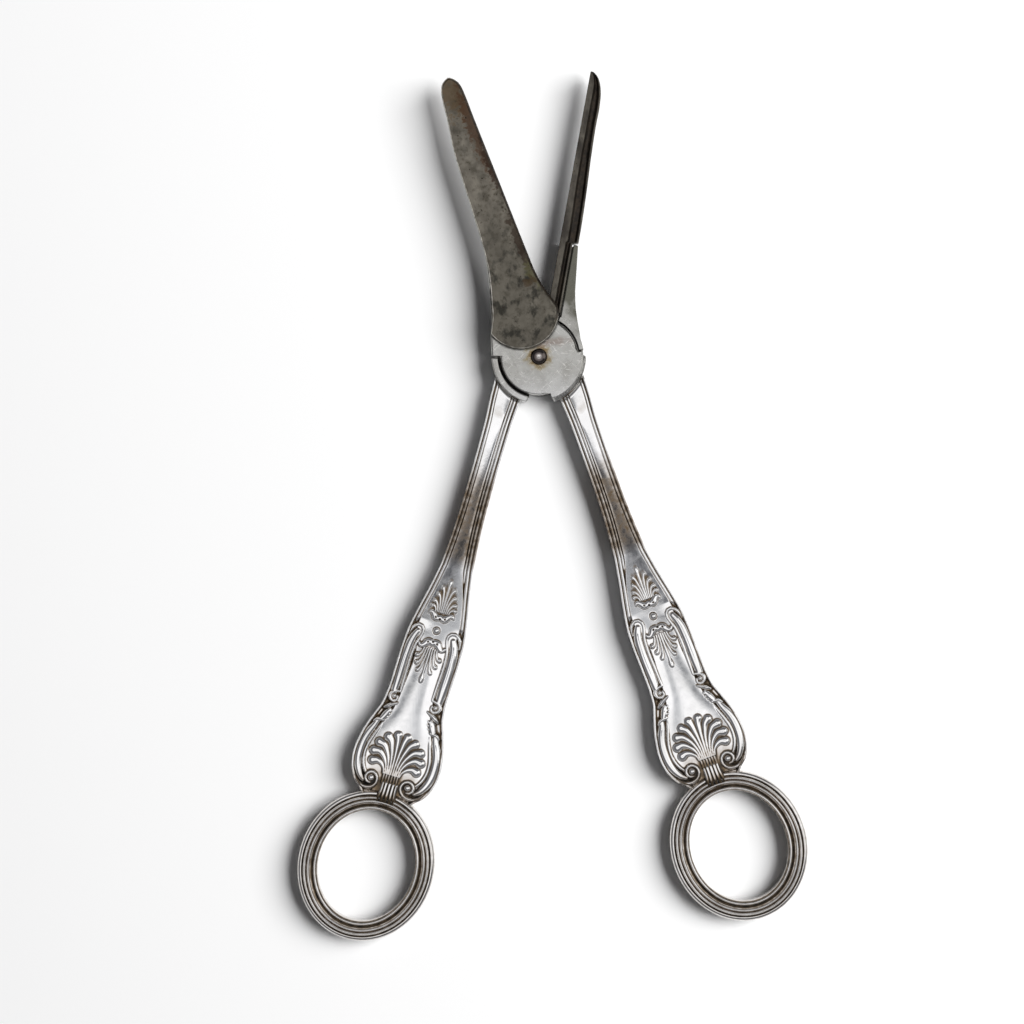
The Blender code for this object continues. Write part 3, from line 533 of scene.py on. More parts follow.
LOWER_SCROLL = (
    # broad reed
    (
        (5.95, 13.9, 0.45, 1.9), (6.4, 12.6, 0.6, 2.05), (7.0, 11.2, 0.74, 2.12), (7.5, 9.5, 0.82, 2.14),
        (7.68, 7.5, 0.84, 2.14), (7.5, 5.3, 0.8, 2.12), (6.9, 3.5, 0.64, 2.05), (6.1, 2.3, 0.55, 1.95),
        (5.35, 1.65, 0.4, 1.8),
    ),
    # thin reed
    (
        (4.85, 13.6, 0.2, 1.8), (5.3, 12.2, 0.24, 1.9), (6.0, 10.2, 0.26, 1.98), (6.5, 8.2, 0.26, 1.98),
        (6.55, 6.6, 0.26, 1.98), (6.2, 5.0, 0.26, 1.98), (5.65, 3.9, 0.25, 1.95), (5.05, 3.15, 0.22, 1.9),
    ),
    # rim reed, which turns in under the scroll and coils into the volute
    (
        (8.3, 4.0, 0.2, 1.5), (7.3, 2.05, 0.24, 1.6), (6.2, 0.85, 0.26, 1.75), (5.1, 0.42, 0.27, 1.88),
        (4.1, 0.48, 0.27, 1.98), (3.2, 0.85, 0.26, 2.03), (2.62, 1.55, 0.25, 2.08),
        (2.5, 2.5, 0.25, 2.12), (2.9, 3.35, 0.25, 2.16), (3.65, 3.75, 0.25, 2.16),
        (4.45, 3.5, 0.25, 2.16), (4.92, 2.85, 0.24, 2.14), (4.88, 2.1, 0.23, 2.1),
        (4.4, 1.58, 0.21, 2.06), (3.8, 1.5, 0.18, 2.0),
    ),
    # eye of the volute
    ((3.78, 2.5, 0.6, 2.3), (3.82, 2.5, 0.6, 2.3)),
)
KNOT = (
    # coil that ends the upper scroll, and its eye
    (
        (3.3, 20.6, 0.2, 1.9), (3.9, 20.55, 0.23, 2.02), (4.75, 20.2, 0.25, 2.08),
        (5.15, 19.45, 0.25, 2.1), (4.85, 18.7, 0.24, 2.08), (4.1, 18.45, 0.23, 2.05),
        (3.55, 18.85, 0.21, 2.0), (3.6, 19.45, 0.19, 1.98),
    ),
    ((4.28, 19.42, 0.36, 2.18), (4.32, 19.4, 0.36, 2.18)),
    # slanting leaf with its mid rib
    ((3.25, 18.1, 0.14, 1.95), (3.85, 17.85, 0.3, 2.03), (4.7, 17.3, 0.38, 2.05), (5.5, 16.7, 0.2, 1.75)),
    ((3.1, 18.2, 0.1, 2.05), (4.2, 17.7, 0.13, 2.16), (5.4, 16.95, 0.1, 1.9)),
    # toothed leaf that closes over the lower scroll
    ((4.25, 16.55, 0.3, 1.95), (4.55, 15.95, 0.56, 2.08), (4.95, 15.1, 0.62, 2.1), (5.45, 14.2, 0.42, 2.02)),
    ((3.75, 16.45, 0.2, 1.9), (4.3, 16.15, 0.26, 2.0)),
    ((3.85, 15.7, 0.22, 1.9), (4.4, 15.6, 0.28, 2.0)),
    ((4.2, 14.95, 0.22, 1.9), (4.7, 15.0, 0.28, 2.0)),
    ((4.65, 14.25, 0.2, 1.88), (5.0, 14.5, 0.25, 2.0)),
    ((4.9, 14.15, 0.16, 1.95), (5.5, 14.25, 0.2, 2.08), (6.15, 14.1, 0.2, 2.08), (6.7, 13.5, 0.15, 1.9)),
)
CROWNS = (
    # winged crown of the hanging shell
    (
        (0.0, 31.6, 0.55, 2.22), (0.5, 31.85, 0.62, 2.29), (1.0, 31.7, 0.72, 2.33),
        (1.5, 31.1, 0.55, 2.29), (2.0, 30.7, 0.42, 2.23), (2.4, 30.75, 0.32, 2.17),
        (2.65, 31.1, 0.2, 2.08),
    ),
    # winged foot of the palmette
    (
        (0.0, 37.0, 0.55, 2.22), (0.5, 36.75, 0.62, 2.29), (1.0, 36.85, 0.72, 2.33),
        (1.5, 37.4, 0.52, 2.29), (1.95, 37.75, 0.4, 2.23), (2.35, 37.7, 0.3, 2.17),
        (2.55, 37.35, 0.18, 2.08),
    ),
)
MIDDLE_STROKES = (
    # hanging shell's middle flute and bulb
    (
        (0.0, 30.6, 0.2, 2.02), (0.0, 27.0, 0.26, 2.08), (0.0, 25.0, 0.3, 2.1), (0.0, 24.1, 0.5, 2.22),
        (0.0, 23.75, 0.46, 2.18),
    ),
    # palmette's middle flute and bulb
    (
        (0.0, 38.0, 0.2, 2.02), (0.0, 41.5, 0.24, 2.06), (0.0, 43.2, 0.3, 2.1), (0.0, 43.9, 0.46, 2.2),
        (0.0, 44.3, 0.4, 2.15),
    ),
    # bead
    ((0.0, 34.27, 0.62, 2.3), (0.0, 34.23, 0.62, 2.3)),
)
# Drilled eyes of the crowns, and hollows round the bead, the volutes and the coils: across, up, radius,
# depth
PITS = ((0.95, 31.72, 0.24, 0.4), (0.95, 36.86, 0.24, 0.4), (0.0, 32.0, 0.24, 0.3), (0.0, 36.6, 0.24, 0.3))
MOATS = ((0.0, 34.25, 0.95, 0.2), (3.8, 2.5, 1.1, 0.16), (4.3, 19.4, 0.7, 0.15))

# Fans: each flute's tip, its root's place across, the roots' place up, half widths from root to tip, top
SHELL = (
    ((0.98, 12.1), (2.8, 11.3), (4.25, 9.8), (4.85, 7.9), (4.55, 5.95)),
    (0.2, 0.58, 0.96, 1.32, 1.66),
    4.1,
    (0.2, 0.25, 0.44, 0.7, 0.9),
    2.34,
)
DROP = (
    ((1.3, 25.75), (1.9, 27.15), (2.3, 28.65)),
    (0.42, 0.86, 1.3),
    30.5,
    (0.15, 0.16, 0.19, 0.27, 0.4),
    2.22,
)
PALMETTE = (
    ((1.2, 42.85), (1.75, 41.4), (2.15, 40.0), (2.4, 38.95)),
    (0.34, 0.68, 1.02, 1.36),
    38.0,
    (0.13, 0.14, 0.17, 0.25, 0.37),
    2.22,
)
# Stems of the shell's flutes, which run on down into the binding, by their places across
STEM_ROOTS = (0.29, 0.86, 1.4)
STEMS = [
    [(root, 5.0, 0.26, 2.12), (root, 3.6, 0.27, 2.08), (1.02 * root, 2.2, 0.28, 1.98)] for root in STEM_ROOTS
]


def flutes(fan):
    """Strokes of a fan: each flute rises from its root along the fan's axis, then bends out to its tip,
    where it swells to a rolled end. A flute that lies flat arches over a little before its tip."""
    tips, roots, root_up, widths, top = fan
    strokes = []
    for (tip, tip_up), root in zip(tips, roots):
        rise = tip_up - root_up
        out = tip - root
        arch = 0.12 * math.copysign(out * min(1, out / abs(rise)), rise)
        places = (
            (root, root_up, top - 0.2),
            (root + 0.1 * out, root_up + 0.34 * rise + arch, top - 0.17),
            (root + 0.36 * out, root_up + 0.68 * rise + 1.5 * arch, top - 0.12),
            (root + 0.72 * out, root_up + 0.92 * rise + 1.2 * arch, top - 0.06),
            (tip, tip_up, top),
        )
        strokes.append([(x, up, width, height) for (x, up, height), width in zip(places, widths)])
    return strokes


def mirrored(strokes):
    return [[(-row[0], *row[1:]) for row in stroke] for stroke in strokes]


# Up the handle: distance in from the edge at which the panel begins, and the height of its crown
PANEL_EDGE = (
    (-1.4, 1.5), (2.0, 2.5), (7.5, 2.7), (11.0, 2.6), (14.0, 2.65), (17.0, 2.7), (20.5, 2.8), (31.0, 2.8),
    (34.0, 1.7), (36.5, 1.4),
)
CROWN = (
    (-1.4, 1.6), (3.0, 1.88), (12.0, 1.95), (30.0, 1.9), (40.0, 1.87), (50.0, 1.86), (60.0, 1.86),
    (68.0, 1.86), (74.0, 1.8), (82.0, 1.6), (92.5, 1.5),
)
# Reeds of the shank: middle in from the edge, half width
SHANK_REEDS = ((0.98, 0.25), (1.6, 0.2))
# Rim of a handle: middle in from the edge, half width, top, drop
RIM_REED = (0.27, 0.25, 1.62, 0.14)
# Height of the ground in the trough inside the rim, and how much higher it lies on the shank
TROUGH = 1.12
SHANK_RISE = 0.1
# How far the shank's panel is set in on its inner side, to make room for one more reed
SET_IN = 0.62
# Rounding of a handle's side: its width in from the edge, and the height from which it starts
SIDE_WIDTH = 0.14
SIDE_START = 0.8


def face_height(across, up, half):
    """Height of a handle's face above its middle plane, and the distance in from its edge. The ground
    steps up from a trough inside the rim to a crowned panel, and reeds follow the edge. The shank has
    one more reed on its inner side than on its outer one."""
    slope = np.gradient(half[:, 0], up[:, 0])[:, None]
    inward = (half - np.abs(across)) / np.sqrt(1 + slope**2)
    shank = ramp(up, 33.5, 36.0)
    inner = ramp(across, 0.3, -0.3) * ramp(up, 40.0, 47.0)
    edge = through(PANEL_EDGE, up) + SET_IN * inner
    crown = through(CROWN, up)
    panel_half = np.maximum(half - edge, 0.2)
    share = np.clip(np.abs(across) / panel_half, 0, 1)
    panel = crown - (0.2 - 0.155 * shank) * share**2.4
    trough = TROUGH + SHANK_RISE * shank
    step = trough + (panel - trough) * ramp(inward, edge - 0.3, edge + 0.02)
    ground = np.where(inward < edge - 0.3, trough, step)
    rim_middle, rim_half, rim_top, rim_drop = RIM_REED
    height = np.maximum(ground, round_over(inward - rim_middle, rim_half, rim_top, rim_drop))
    for (depth, width), share in zip(SHANK_REEDS, (shank, inner)):
        reed = round_over(inward - depth, width, crown - 0.06, 0.12)
        height = np.maximum(height, reed - 1.2 * (1 - share))
    side = SIDE_START + (height - SIDE_START) * np.sqrt(np.clip(inward / SIDE_WIDTH, 0, 1))
    return np.where(inward < SIDE_WIDTH, side, height), inward


def press(height, across, up, places):
    """Lowers a height field round each place to a soft round hollow, on both sides of the middle line."""
    for place, place_up, radius, depth in places:
        for side in (-1, 1):
            far = np.hypot(across - side * place, up - place_up)
            height -= depth * ramp(far, radius, radius * 0.45)


def carved(height, across, up):
    """The height field with its ornament: hollows pressed first, then strokes, then the drilled eyes."""
    press(height, across, up, MOATS)
    sides = [*UPPER_SCROLL, *LOWER_SCROLL, *KNOT, *CROWNS, *STEMS]
    for fan in (SHELL, DROP, PALMETTE):
        sides += flutes(fan)
    for stroke in [*sides, *mirrored(sides), *MIDDLE_STROKES]:
        carve(height, across, up, stroke)
    press(height, across, up, PITS)
    return height


# A handle's grid: places of its outer columns in from the edge, and how many columns and rows more
EDGE_COLUMNS = np.array([
    0, 0.03, 0.08, 0.14, 0.2, 0.27, 0.34, 0.4, 0.46, 0.52, 0.6, 0.68, 0.76, 0.84, 0.91, 0.98, 1.05, 1.12
])
MIDDLE_COLUMNS = 144
PATTERN_ROWS = 470
SHANK_ROWS = 42
# Where a handle's skin ends below its wide end, and how far from the joint its rows bend to the collar
HANDLE_END = -1.4
SEAT_BEND = 18.0
# Height of the handle's seat under the ring, and how much higher the face may stand outside it
RING_SEAT = 0.9
SEAT_RISE = 1.6


def handle_places(reach):
    """Places across and up a handle, and its half width, as rows from the joint to the ring. The outer
    columns keep their distances from the edge, and the middle ones share out what is left."""
    rows_up = np.concatenate([
        np.linspace(reach, PATTERN, SHANK_ROWS, endpoint=False),
        np.linspace(PATTERN, HANDLE_END, PATTERN_ROWS),
    ])
    down = np.clip((reach - rows_up) / (reach - PATTERN), 0, 1)
    pattern_half = half_width(np.minimum(rows_up, PATTERN))
    half = np.where(rows_up <= PATTERN, pattern_half, through(SHANK_WIDTHS, down))[:, None]
    step = EDGE_COLUMNS * np.sqrt(1 + np.gradient(half[:, 0], rows_up)[:, None] ** 2)
    middle = (half - step[:, -1:]) * np.linspace(1, -1, MIDDLE_COLUMNS)[None, :]
    across = np.concatenate([half - step[:, :-1], middle, (step - half)[:, -2::-1]], 1)
    return across, np.repeat(rows_up[:, None], across.shape[1], 1), half


def handle_tarnish_and_shade(height, inward, drawn, up, half):
    """How dark a handle's face is painted: sulphide and painted shade in what lies below its surroundings,
    then more sulphide by the large shell, at the low end and in the neck over the binding, a darker band
    on the shank that is a sulphide film and a painted dark reflection of the camera overhead, and a line
    inside the rim. The narrow shank is measured against wider surroundings than the ornament."""
    slender = ramp(half, 6.0, 3.4)
    # Darkness in hollows: sulphide, and painted shade where light is blocked
    ornament = 1.5 * hollow(height, 2) + 0.8 * hollow(height, 4)
    recess = (1 - slender) * ornament + (0.15 + 1.1 * slender) * hollow(height, 12)
    recess = recess * ramp(inward, 0.42, 0.5)
    near_shell = ramp(np.hypot(drawn / 6.3, (up - 4.6) / 8.6), 1.0, 0.6)
    low_end = ramp(up, 6.5, 1.0)
    neck = ramp(np.abs(drawn), 2.5, 1.7) * ramp(up, 7.2, 4.6)
    tarnish_and_shade = np.clip((recess - 0.03) / 0.13, 0, 1) * (0.72 + 0.3 * low_end - 0.14 * near_shell)
    tarnish_and_shade = tarnish_and_shade + (0.22 * near_shell + 0.3 * low_end + 0.3 * neck) * ramp(height, 2.4, 1.8)
    # Darker band on the shank: a sulphide film, and a painted dark reflection of the camera overhead
    tarnish_and_shade = tarnish_and_shade + 0.46 * ramp(up, 46.0, 50.5) * ramp(up, 72.0, 62.0)
    line = 0.75 * ramp(inward, 0.42, 0.52) * ramp(inward, 0.74, 0.64)
    return np.clip(np.maximum(tarnish_and_shade, line), 0, 1)


def handle_face(reach, shift):
    """A handle's face as rows from the joint to the ring and columns across: x, y, height and tarnish.
    The pattern's middle line can lie a little outside the handle's. The rows near the joint bend to the
    collar's arc, and the face drops to a low seat where the ring crosses it."""
    across, up, half = handle_places(reach)
    drawn = across - shift * (1 - (across / half) ** 2)
    height, inward = face_height(across, up, half)
    height = carved(height, drawn, up)
    x = -across - AXIS_OFFSET * through(AXIS, (reach - up) / reach)
    y = up - reach
    seat = -np.sqrt(SEAT_RADIUS**2 - np.clip(np.abs(x), 0, SEAT_RADIUS - 0.5) ** 2)
    y = y + ramp(-y, SEAT_BEND, 0.0) * seat
    oval = np.hypot((x + RING_OFFSET) / (HOLE[0] + BAND), (y + reach + RING_DISTANCE) / (HOLE[1] + BAND))
    height = np.minimum(height, RING_SEAT + SEAT_RISE * ramp(oval, 0.985, 1.02))
    return x, y, height, handle_tarnish_and_shade(height, inward, drawn, up, half)


def handle_skin(name, face, way, side, body, material):
    """One half of a handle, split at its middle plane: the face, or the same face mirrored below, with
    an upright wall at its edges and a flat floor on the middle plane."""
    rows = np.concatenate([face[:, :1], face[:, :1], face, face[:, -1:], face[:, -1:]], 1) * (1, 1, side, 1)
    rows[:, (0, -1), 2] = 0
    rows[:, (1, -2), 2] = 0.04 * side
    piece = loft(name, place_half(rows[..., :3], way), material, way * side > 0)
    mark(piece, "tarnish_and_shade", rows[..., 3])
    finish_piece(piece, body)
    return piece


def place_half(points, way):
    """From a handle's own plane to the world: turned out by the handle angle, mirrored for the right
    half, and raised by half of the lapped plates' height."""
    c, s = math.cos(HANDLE_ANGLE), math.sin(HANDLE_ANGLE)
    x, y, z = np.moveaxis(points, -1, 0)
    return np.stack([way * (x * c + y * s), y * c - x * s, z + MIDDLE], -1)


def finish_piece(piece, body):
    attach(piece, body)


# Finger rings


RING_STEPS = 240
# Inwards from the ring's outer edge: end of its rounded rim, then its reeds (middle, half width, top)
RING_RIM = 0.8
RING_REEDS = ((1.4, 0.3, 1.74), (2.16, 0.3, 1.75), (3.44, 0.36, 1.6))
# Width of the rounding at the hole, and the least tarnish that a ring shows
HOLE_ROUNDING = 0.3
RING_TARNISH = 0.22


def ring_section():
    """Outline of a reeded band, from its outer edge over the top: depth in from the outer edge, height
    and darkening, which is sulphide and, in the grooves, painted shade. A rounded rim, two reeds, a wide
    hollow and one more reed at the hole."""
    edge = np.array([0, 0.03, 0.08])
    depth = np.concatenate([edge, np.linspace(0.14, BAND - 0.14, 84), BAND - edge[::-1]])
    rim = 0.55 + 0.85 * np.sqrt(1 - np.clip((0.75 - depth) / RING_RIM, 0, 1) ** 2)
    ground = 1.18 + 0.27 * ramp(depth, 2.3, 2.5) - 0.5 * ramp(depth, 2.5, 3.3)
    height = np.where(depth < RING_RIM, rim, ground)
    for centre, half, top in RING_REEDS:
        height = np.maximum(height, round_over(depth - centre, half, top, 0.3))
    inner = 0.5 + 0.95 * np.sqrt(np.clip((BAND - depth) / HOLE_ROUNDING, 0, 1))
    height = np.minimum(height, np.where(depth > BAND - HOLE_ROUNDING, inner, np.inf))
    # Darker in the grooves: sulphide and painted shade; never less than the ring's least tarnish
    tarnish_and_shade = ramp(height, 1.66, 1.2) * ramp(depth, 0.62, 0.85) * ramp(depth, BAND - 0.02, BAND - 0.2)
    tarnish_and_shade = tarnish_and_shade * (1 - 0.1 * ramp(depth, 2.4, 2.6) * ramp(depth, 3.3, 3.1))
    return depth, height, np.maximum(tarnish_and_shade, RING_TARNISH)


def ring_surface(name, reach, way, body, material):
    """A ring's section carried round an oval: a point lies on the oval through the band's middle, moved
    out along its normal by half the band less its depth, at its height above or below the middle plane."""
    depth, height, tarnish_and_shade = (np.concatenate([part, part[::-1]]) for part in ring_section())
    height[len(height) // 2 :] *= -1
    angle = np.linspace(0, 2 * math.pi, RING_STEPS, endpoint=False)[:, None]
    a, b = HOLE[0] + BAND / 2, HOLE[1] + BAND / 2
    normal = np.hypot(b * np.cos(angle), a * np.sin(angle))
    out = BAND / 2 - depth[None, :]
    x = a * np.cos(angle) + out * b * np.cos(angle) / normal - RING_OFFSET
    y = b * np.sin(angle) + out * a * np.sin(angle) / normal - reach - RING_DISTANCE
    points = place_half(np.stack([x, y, np.broadcast_to(height, x.shape)], -1), way).reshape(-1, 3)
    quads = grid_quads(RING_STEPS, len(depth), True, True)
    piece = new_mesh(name, points, quads[:, ::-1] if way > 0 else quads, material)
    mark(piece, "tarnish_and_shade", np.broadcast_to(tarnish_and_shade, x.shape))
    finish_piece(piece, body)
    return piece


# Bindings


STRANDS = 5
STRAND_RELIEF = 0.24
# Binding: its two ends up from the handle's wide end, half width, and top above the middle plane
BINDING_ENDS = (2.75, -2.15)
BINDING_HALF = 1.82
BINDING_TOP = 2.12


def binding_surface(name, reach, way, body, material):
    """Strands side by side over the handle's end and the ring: a rounded arch along the handle with a
    ridge for each strand, wider at its lower end, and the lower face is the upper one mirrored."""
    line = np.linspace(-1, 1, 101)[None, :]
    up = np.linspace(*BINDING_ENDS, 60)[:, None]
    half = BINDING_HALF + 0.32 * ramp(up, 1.2, -1.8) + 0.08 * ramp(up, 2.0, 2.75)
    across = half * line
    strand = np.abs((line * STRANDS / 2 + 0.5) % 1 - 0.5) * 2
    ridge = np.sqrt(1 - np.clip(strand, 0, 1) ** 2)
    arch = BINDING_TOP - 0.5 * ramp(up, 0.3, -2.3) ** 1.5 - 0.35 * ramp(up, 2.2, 2.8)
    height = arch - STRAND_RELIEF + STRAND_RELIEF * ridge - 0.45 * np.abs(line) ** 6
    x = -across - AXIS_OFFSET * through(AXIS, (reach - up) / reach)
    y = np.broadcast_to(up - reach, x.shape)
    tarnish_and_shade = np.clip((1 - ridge) * 1.6 + 0.1 + 0.5 * ramp(up, 1.2, -1.2), 0, 1)
    above = np.stack([x, y, height, tarnish_and_shade], -1)[:, ::-1]
    rows = np.concatenate([above, above[:, ::-1] * (1, 1, -1, 1)], 1)
    piece = loft(name, place_half(rows[..., :3], way), material, way < 0)
    mark(piece, "tarnish_and_shade", rows[..., 3])
    finish_piece(piece, body)
    return piece


# Joint plates


# Corners nearer than PLATE_MERGE are one, and faces that turn by less than PLATE_FLAT degrees are one.
# Edges are rounded that turn by more than PLATE_SHARP degrees and have only longer ones than PLATE_SHORT
# at their ends.
PLATE_MERGE = 0.03
PLATE_FLAT = 2
PLATE_SHARP = 40
PLATE_SHORT = 0.3


def softened_plate(node, width_mm, body, material):
    """The plate's own solid with its faces made whole again and its edges rounded, short ones apart."""
    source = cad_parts[node]
    bm = bmesh.new()
    bm.from_mesh(source.data)
    bmesh.ops.remove_doubles(bm, verts=bm.verts, dist=PLATE_MERGE * MM)
    bmesh.ops.dissolve_limit(bm, angle_limit=math.radians(PLATE_FLAT), verts=bm.verts, edges=bm.edges)
    rounded = bm.edges.layers.float.new("bevel_weight_edge")
    for edge in bm.edges:
        shortest = min(near.calc_length() for vert in edge.verts for near in vert.link_edges)
        sharp = edge.calc_face_angle(0) > math.radians(PLATE_SHARP)
        edge[rounded] = float(sharp and shortest > PLATE_SHORT * MM)
    mesh = bpy.data.meshes.new(node + "_finished")
    bm.to_mesh(mesh)
    bm.free()
    mesh.shade_smooth()
    mesh.set_sharp_from_angle(angle=math.radians(35))
    mesh.materials.append(material)
    piece = add_object(node + "_finished", mesh)
    bevel = piece.modifiers.new("rounded edges", "BEVEL")
    bevel.width = width_mm * MM
    bevel.segments = 4
    bevel.use_clamp_overlap = False
    bevel.limit_method = "WEIGHT"
    weighted = piece.modifiers.new("flat faces", "WEIGHTED_NORMAL")
    weighted.weight = 100
    weighted.keep_sharp = True
    finish_piece(piece, body)
    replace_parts(piece, node)
    return piece


# Blades


FRONT_BLADE_ANGLE = math.radians(19.9)
FRONT_FACE = 4.9
FRONT_THICKNESS = 1.1
FRONT_LENGTH = 58.2
HEEL_MIDDLE = 9.65
HEEL_RADIUS = 7.5
# Start and end of the heel's arc round its middle, in degrees
HEEL_ARC = (-15.2, -158.8)
# Half of the front blade's outline on each side of its tip: across to the back's side, and along
FRONT_BACK = (
    (-3.56, 58.25), (-2.85, 58.0), (-2.0, 57.4), (-1.5, 56.6), (-1.12, 55.5), (-0.8, 53.8), (-0.5, 51.5),
    (0.7, 44.2), (1.56, 33.8), (2.38, 23.9), (3.12, 19.2), (3.89, 16.3), (4.78, 13.4), (5.8, 10.4),
    (6.5, 9.0), (7.24, 7.68),
)
FRONT_CUTTING = (
    (-6.99, 6.94), (-7.16, 7.7), (-6.98, 8.8), (-6.5, 10.4), (-5.8, 13.4), (-5.5, 16.3), (-5.47, 20.0),
    (-5.47, 35.0), (-5.47, 50.0), (-5.5, 54.0), (-5.42, 55.6), (-5.14, 56.7), (-4.5, 57.6), (-4.0, 58.05),
    (-3.56, 58.25),
)
# Rounding of the front blade: distance in, and share of the thickness at the cutting edge and elsewhere
FRONT_PROFILE = (
    (0.0, 0.28, 0.6), (0.07, 0.39, 0.8), (0.16, 0.54, 0.97), (0.24, 0.67, 1.0), (0.44, 0.95, 1.0),
    (0.56, 1.0, 1.0), (0.75, 1.0, 1.0),
)


def front_outline():
    """The front blade seen from above, round from the tip down the back, along the heel's arc and up
    the cutting edge: across, along, and 1 where the edge is ground for cutting."""
    back = curve_points(FRONT_BACK, 110)
    heel = np.radians(np.linspace(*HEEL_ARC, 64))[1:-1]
    arc = np.stack([HEEL_RADIUS * np.cos(heel), HEEL_MIDDLE + HEEL_RADIUS * np.sin(heel)], 1)
    cutting = curve_points(FRONT_CUTTING, 110)[:-1]
    tip_back, tip_cutting = (0.5 * ramp(side[:, 1], 56.5, FRONT_LENGTH) for side in (back, cutting))
    ground = [tip_back, np.linspace(0, 1, len(arc)) ** 9, 1 - tip_cutting]
    across, along = np.concatenate([back, arc, cutting]).T
    return along, across, np.concatenate(ground)


def inset(points, distance):
    """An outline moved inwards by a distance: each corner goes along the mitre of its two sides."""
    forward = np.roll(points, -1, 0) - points
    forward /= np.linalg.norm(forward, axis=1, keepdims=True)
    side = forward[:, ::-1] * (-1, 1)
    before = np.roll(side, 1, 0)
    return points + distance * (side + before) / (1 + (side * before).sum(1, keepdims=True))


def front_blade_surface(steel):
    """A flat blade: its outline at the lower face, then the outline moved in step by step as it rises,
    steeper at the plain edges than at the cutting edge, and thinner towards the tip."""
    along, across, ground = front_outline()
    c, s = math.cos(FRONT_BLADE_ANGLE), math.sin(FRONT_BLADE_ANGLE)
    outline = np.stack([-(along * s + across * c), along * c - across * s], 1)
    thickness = FRONT_THICKNESS * (1 - 0.3 * along / FRONT_LENGTH)
    rows = [np.column_stack([outline, np.full(len(along), FRONT_FACE)])]
    for distance, cut, plain in FRONT_PROFILE:
        share = cut * ground + plain * (1 - ground)
        rows.append(np.column_stack([inset(outline, distance), FRONT_FACE + thickness * share]))
    piece = loft("front_blade_ground", np.array(rows), steel)
    depths = (0, *[row[0] for row in FRONT_PROFILE])
    mark(piece, "tarnish_and_shade", np.stack([0.95 * ground * (depth < 0.5) for depth in depths]))
    # Pale line on the plain edges' rounding: bare metal and a painted highlight
    mark(piece, "bare_edge_and_highlight", np.stack([(1 - ground) * (0.05 < depth < 0.2) for depth in depths]))
    crisp(piece, 50)
    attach(piece, "front_half")
    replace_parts(piece, "front_blade")


REAR_BLADE_ANGLE = math.radians(12.0)
REAR_TOP = 4.6
REAR_BASE = 1.4
REAR_TIP_BASE = 3.1
REAR_START = 9.65
REAR_STEP = 23.4
REAR_LENGTH = 57.8
# Widths of the jaw along it: of its tang up to the step, and of the rest as (place, width)
REAR_TANG = 2.6
REAR_WIDTHS = (
    (23.75, 3.75), (27.9, 3.71), (34.4, 3.49), (41.5, 3.15), (47.3, 3.0), (51.4, 3.02), (54.2, 2.72),
    (55.8, 2.25), (56.8, 1.72), (57.4, 1.15), (57.8, 0.5),
)
# The jaw's lands: the cutting one on the tang, towards the tip, and how much wider it is by the step,
# and the one at the back
TANG_LAND = 1.35
CUTTING_LAND = 1.12
LAND_GROWTH = 0.38
BACK_LAND = 0.42
# Channel: its depth, and the points of a side wall in shares of the wall's width and of the depth,
# each with its darkening, grime and painted shade of the hollow
CHANNEL_DEPTH = 0.9
CHANNEL_WALL = ((0.12, 0.2, 0.45), (0.45, 0.68, 0.6), (1.0, 0.95, 0.85))


def rear_section(width, low, land):
    """Round a jaw from its inner edge: across, height and darkening, which is grime and painted shade.
    Two lands with rounded edges, and a ground channel between them with a flat floor."""
    land = min(land, 0.45 * width)
    back = min(BACK_LAND, 0.14 * width)
    floor = CHANNEL_DEPTH * min(1, width / REAR_TANG)
    inner, outer = land, width - back
    wall = min(0.42, 0.7 * (outer - inner) / 2)
    down = [(inner + far * wall, REAR_TOP - depth * floor, grime_and_shade) for far, depth, grime_and_shade in CHANNEL_WALL]
    rise = [(outer - far * wall, REAR_TOP - depth * floor, grime_and_shade) for far, depth, grime_and_shade in CHANNEL_WALL]
    return np.array([
        (0, REAR_TOP - floor, 0.9),
        (0, REAR_TOP - 0.35, 0.8),
        (0, REAR_TOP - 0.1, 0.5),
        (0.04, REAR_TOP - 0.03, 0.3),
        (0.1 * land, REAR_TOP, 0.12),
        (0.17 * land, REAR_TOP, 0.0),
        (0.83 * land, REAR_TOP, 0.0),
        (0.9 * land, REAR_TOP, 0.0),
        (inner, REAR_TOP - 0.05, 0.15),
        *down,
        ((inner + outer) / 2, REAR_TOP - floor, 0.9),
        *rise[::-1],
        (outer, REAR_TOP - 0.04, 0.1),
        (outer + 0.15 * back, REAR_TOP, 0.0),
        (width - 0.2 * back, REAR_TOP, 0.0),
        (width - 0.06 * back, REAR_TOP - 0.03, 0.1),
        (width, REAR_TOP - 0.1, 0.3),
        (width, low + 0.05, 0.6),
        (width - 0.05, low, 0.6),
        (0.55 * land, low, 0.6),
    ])


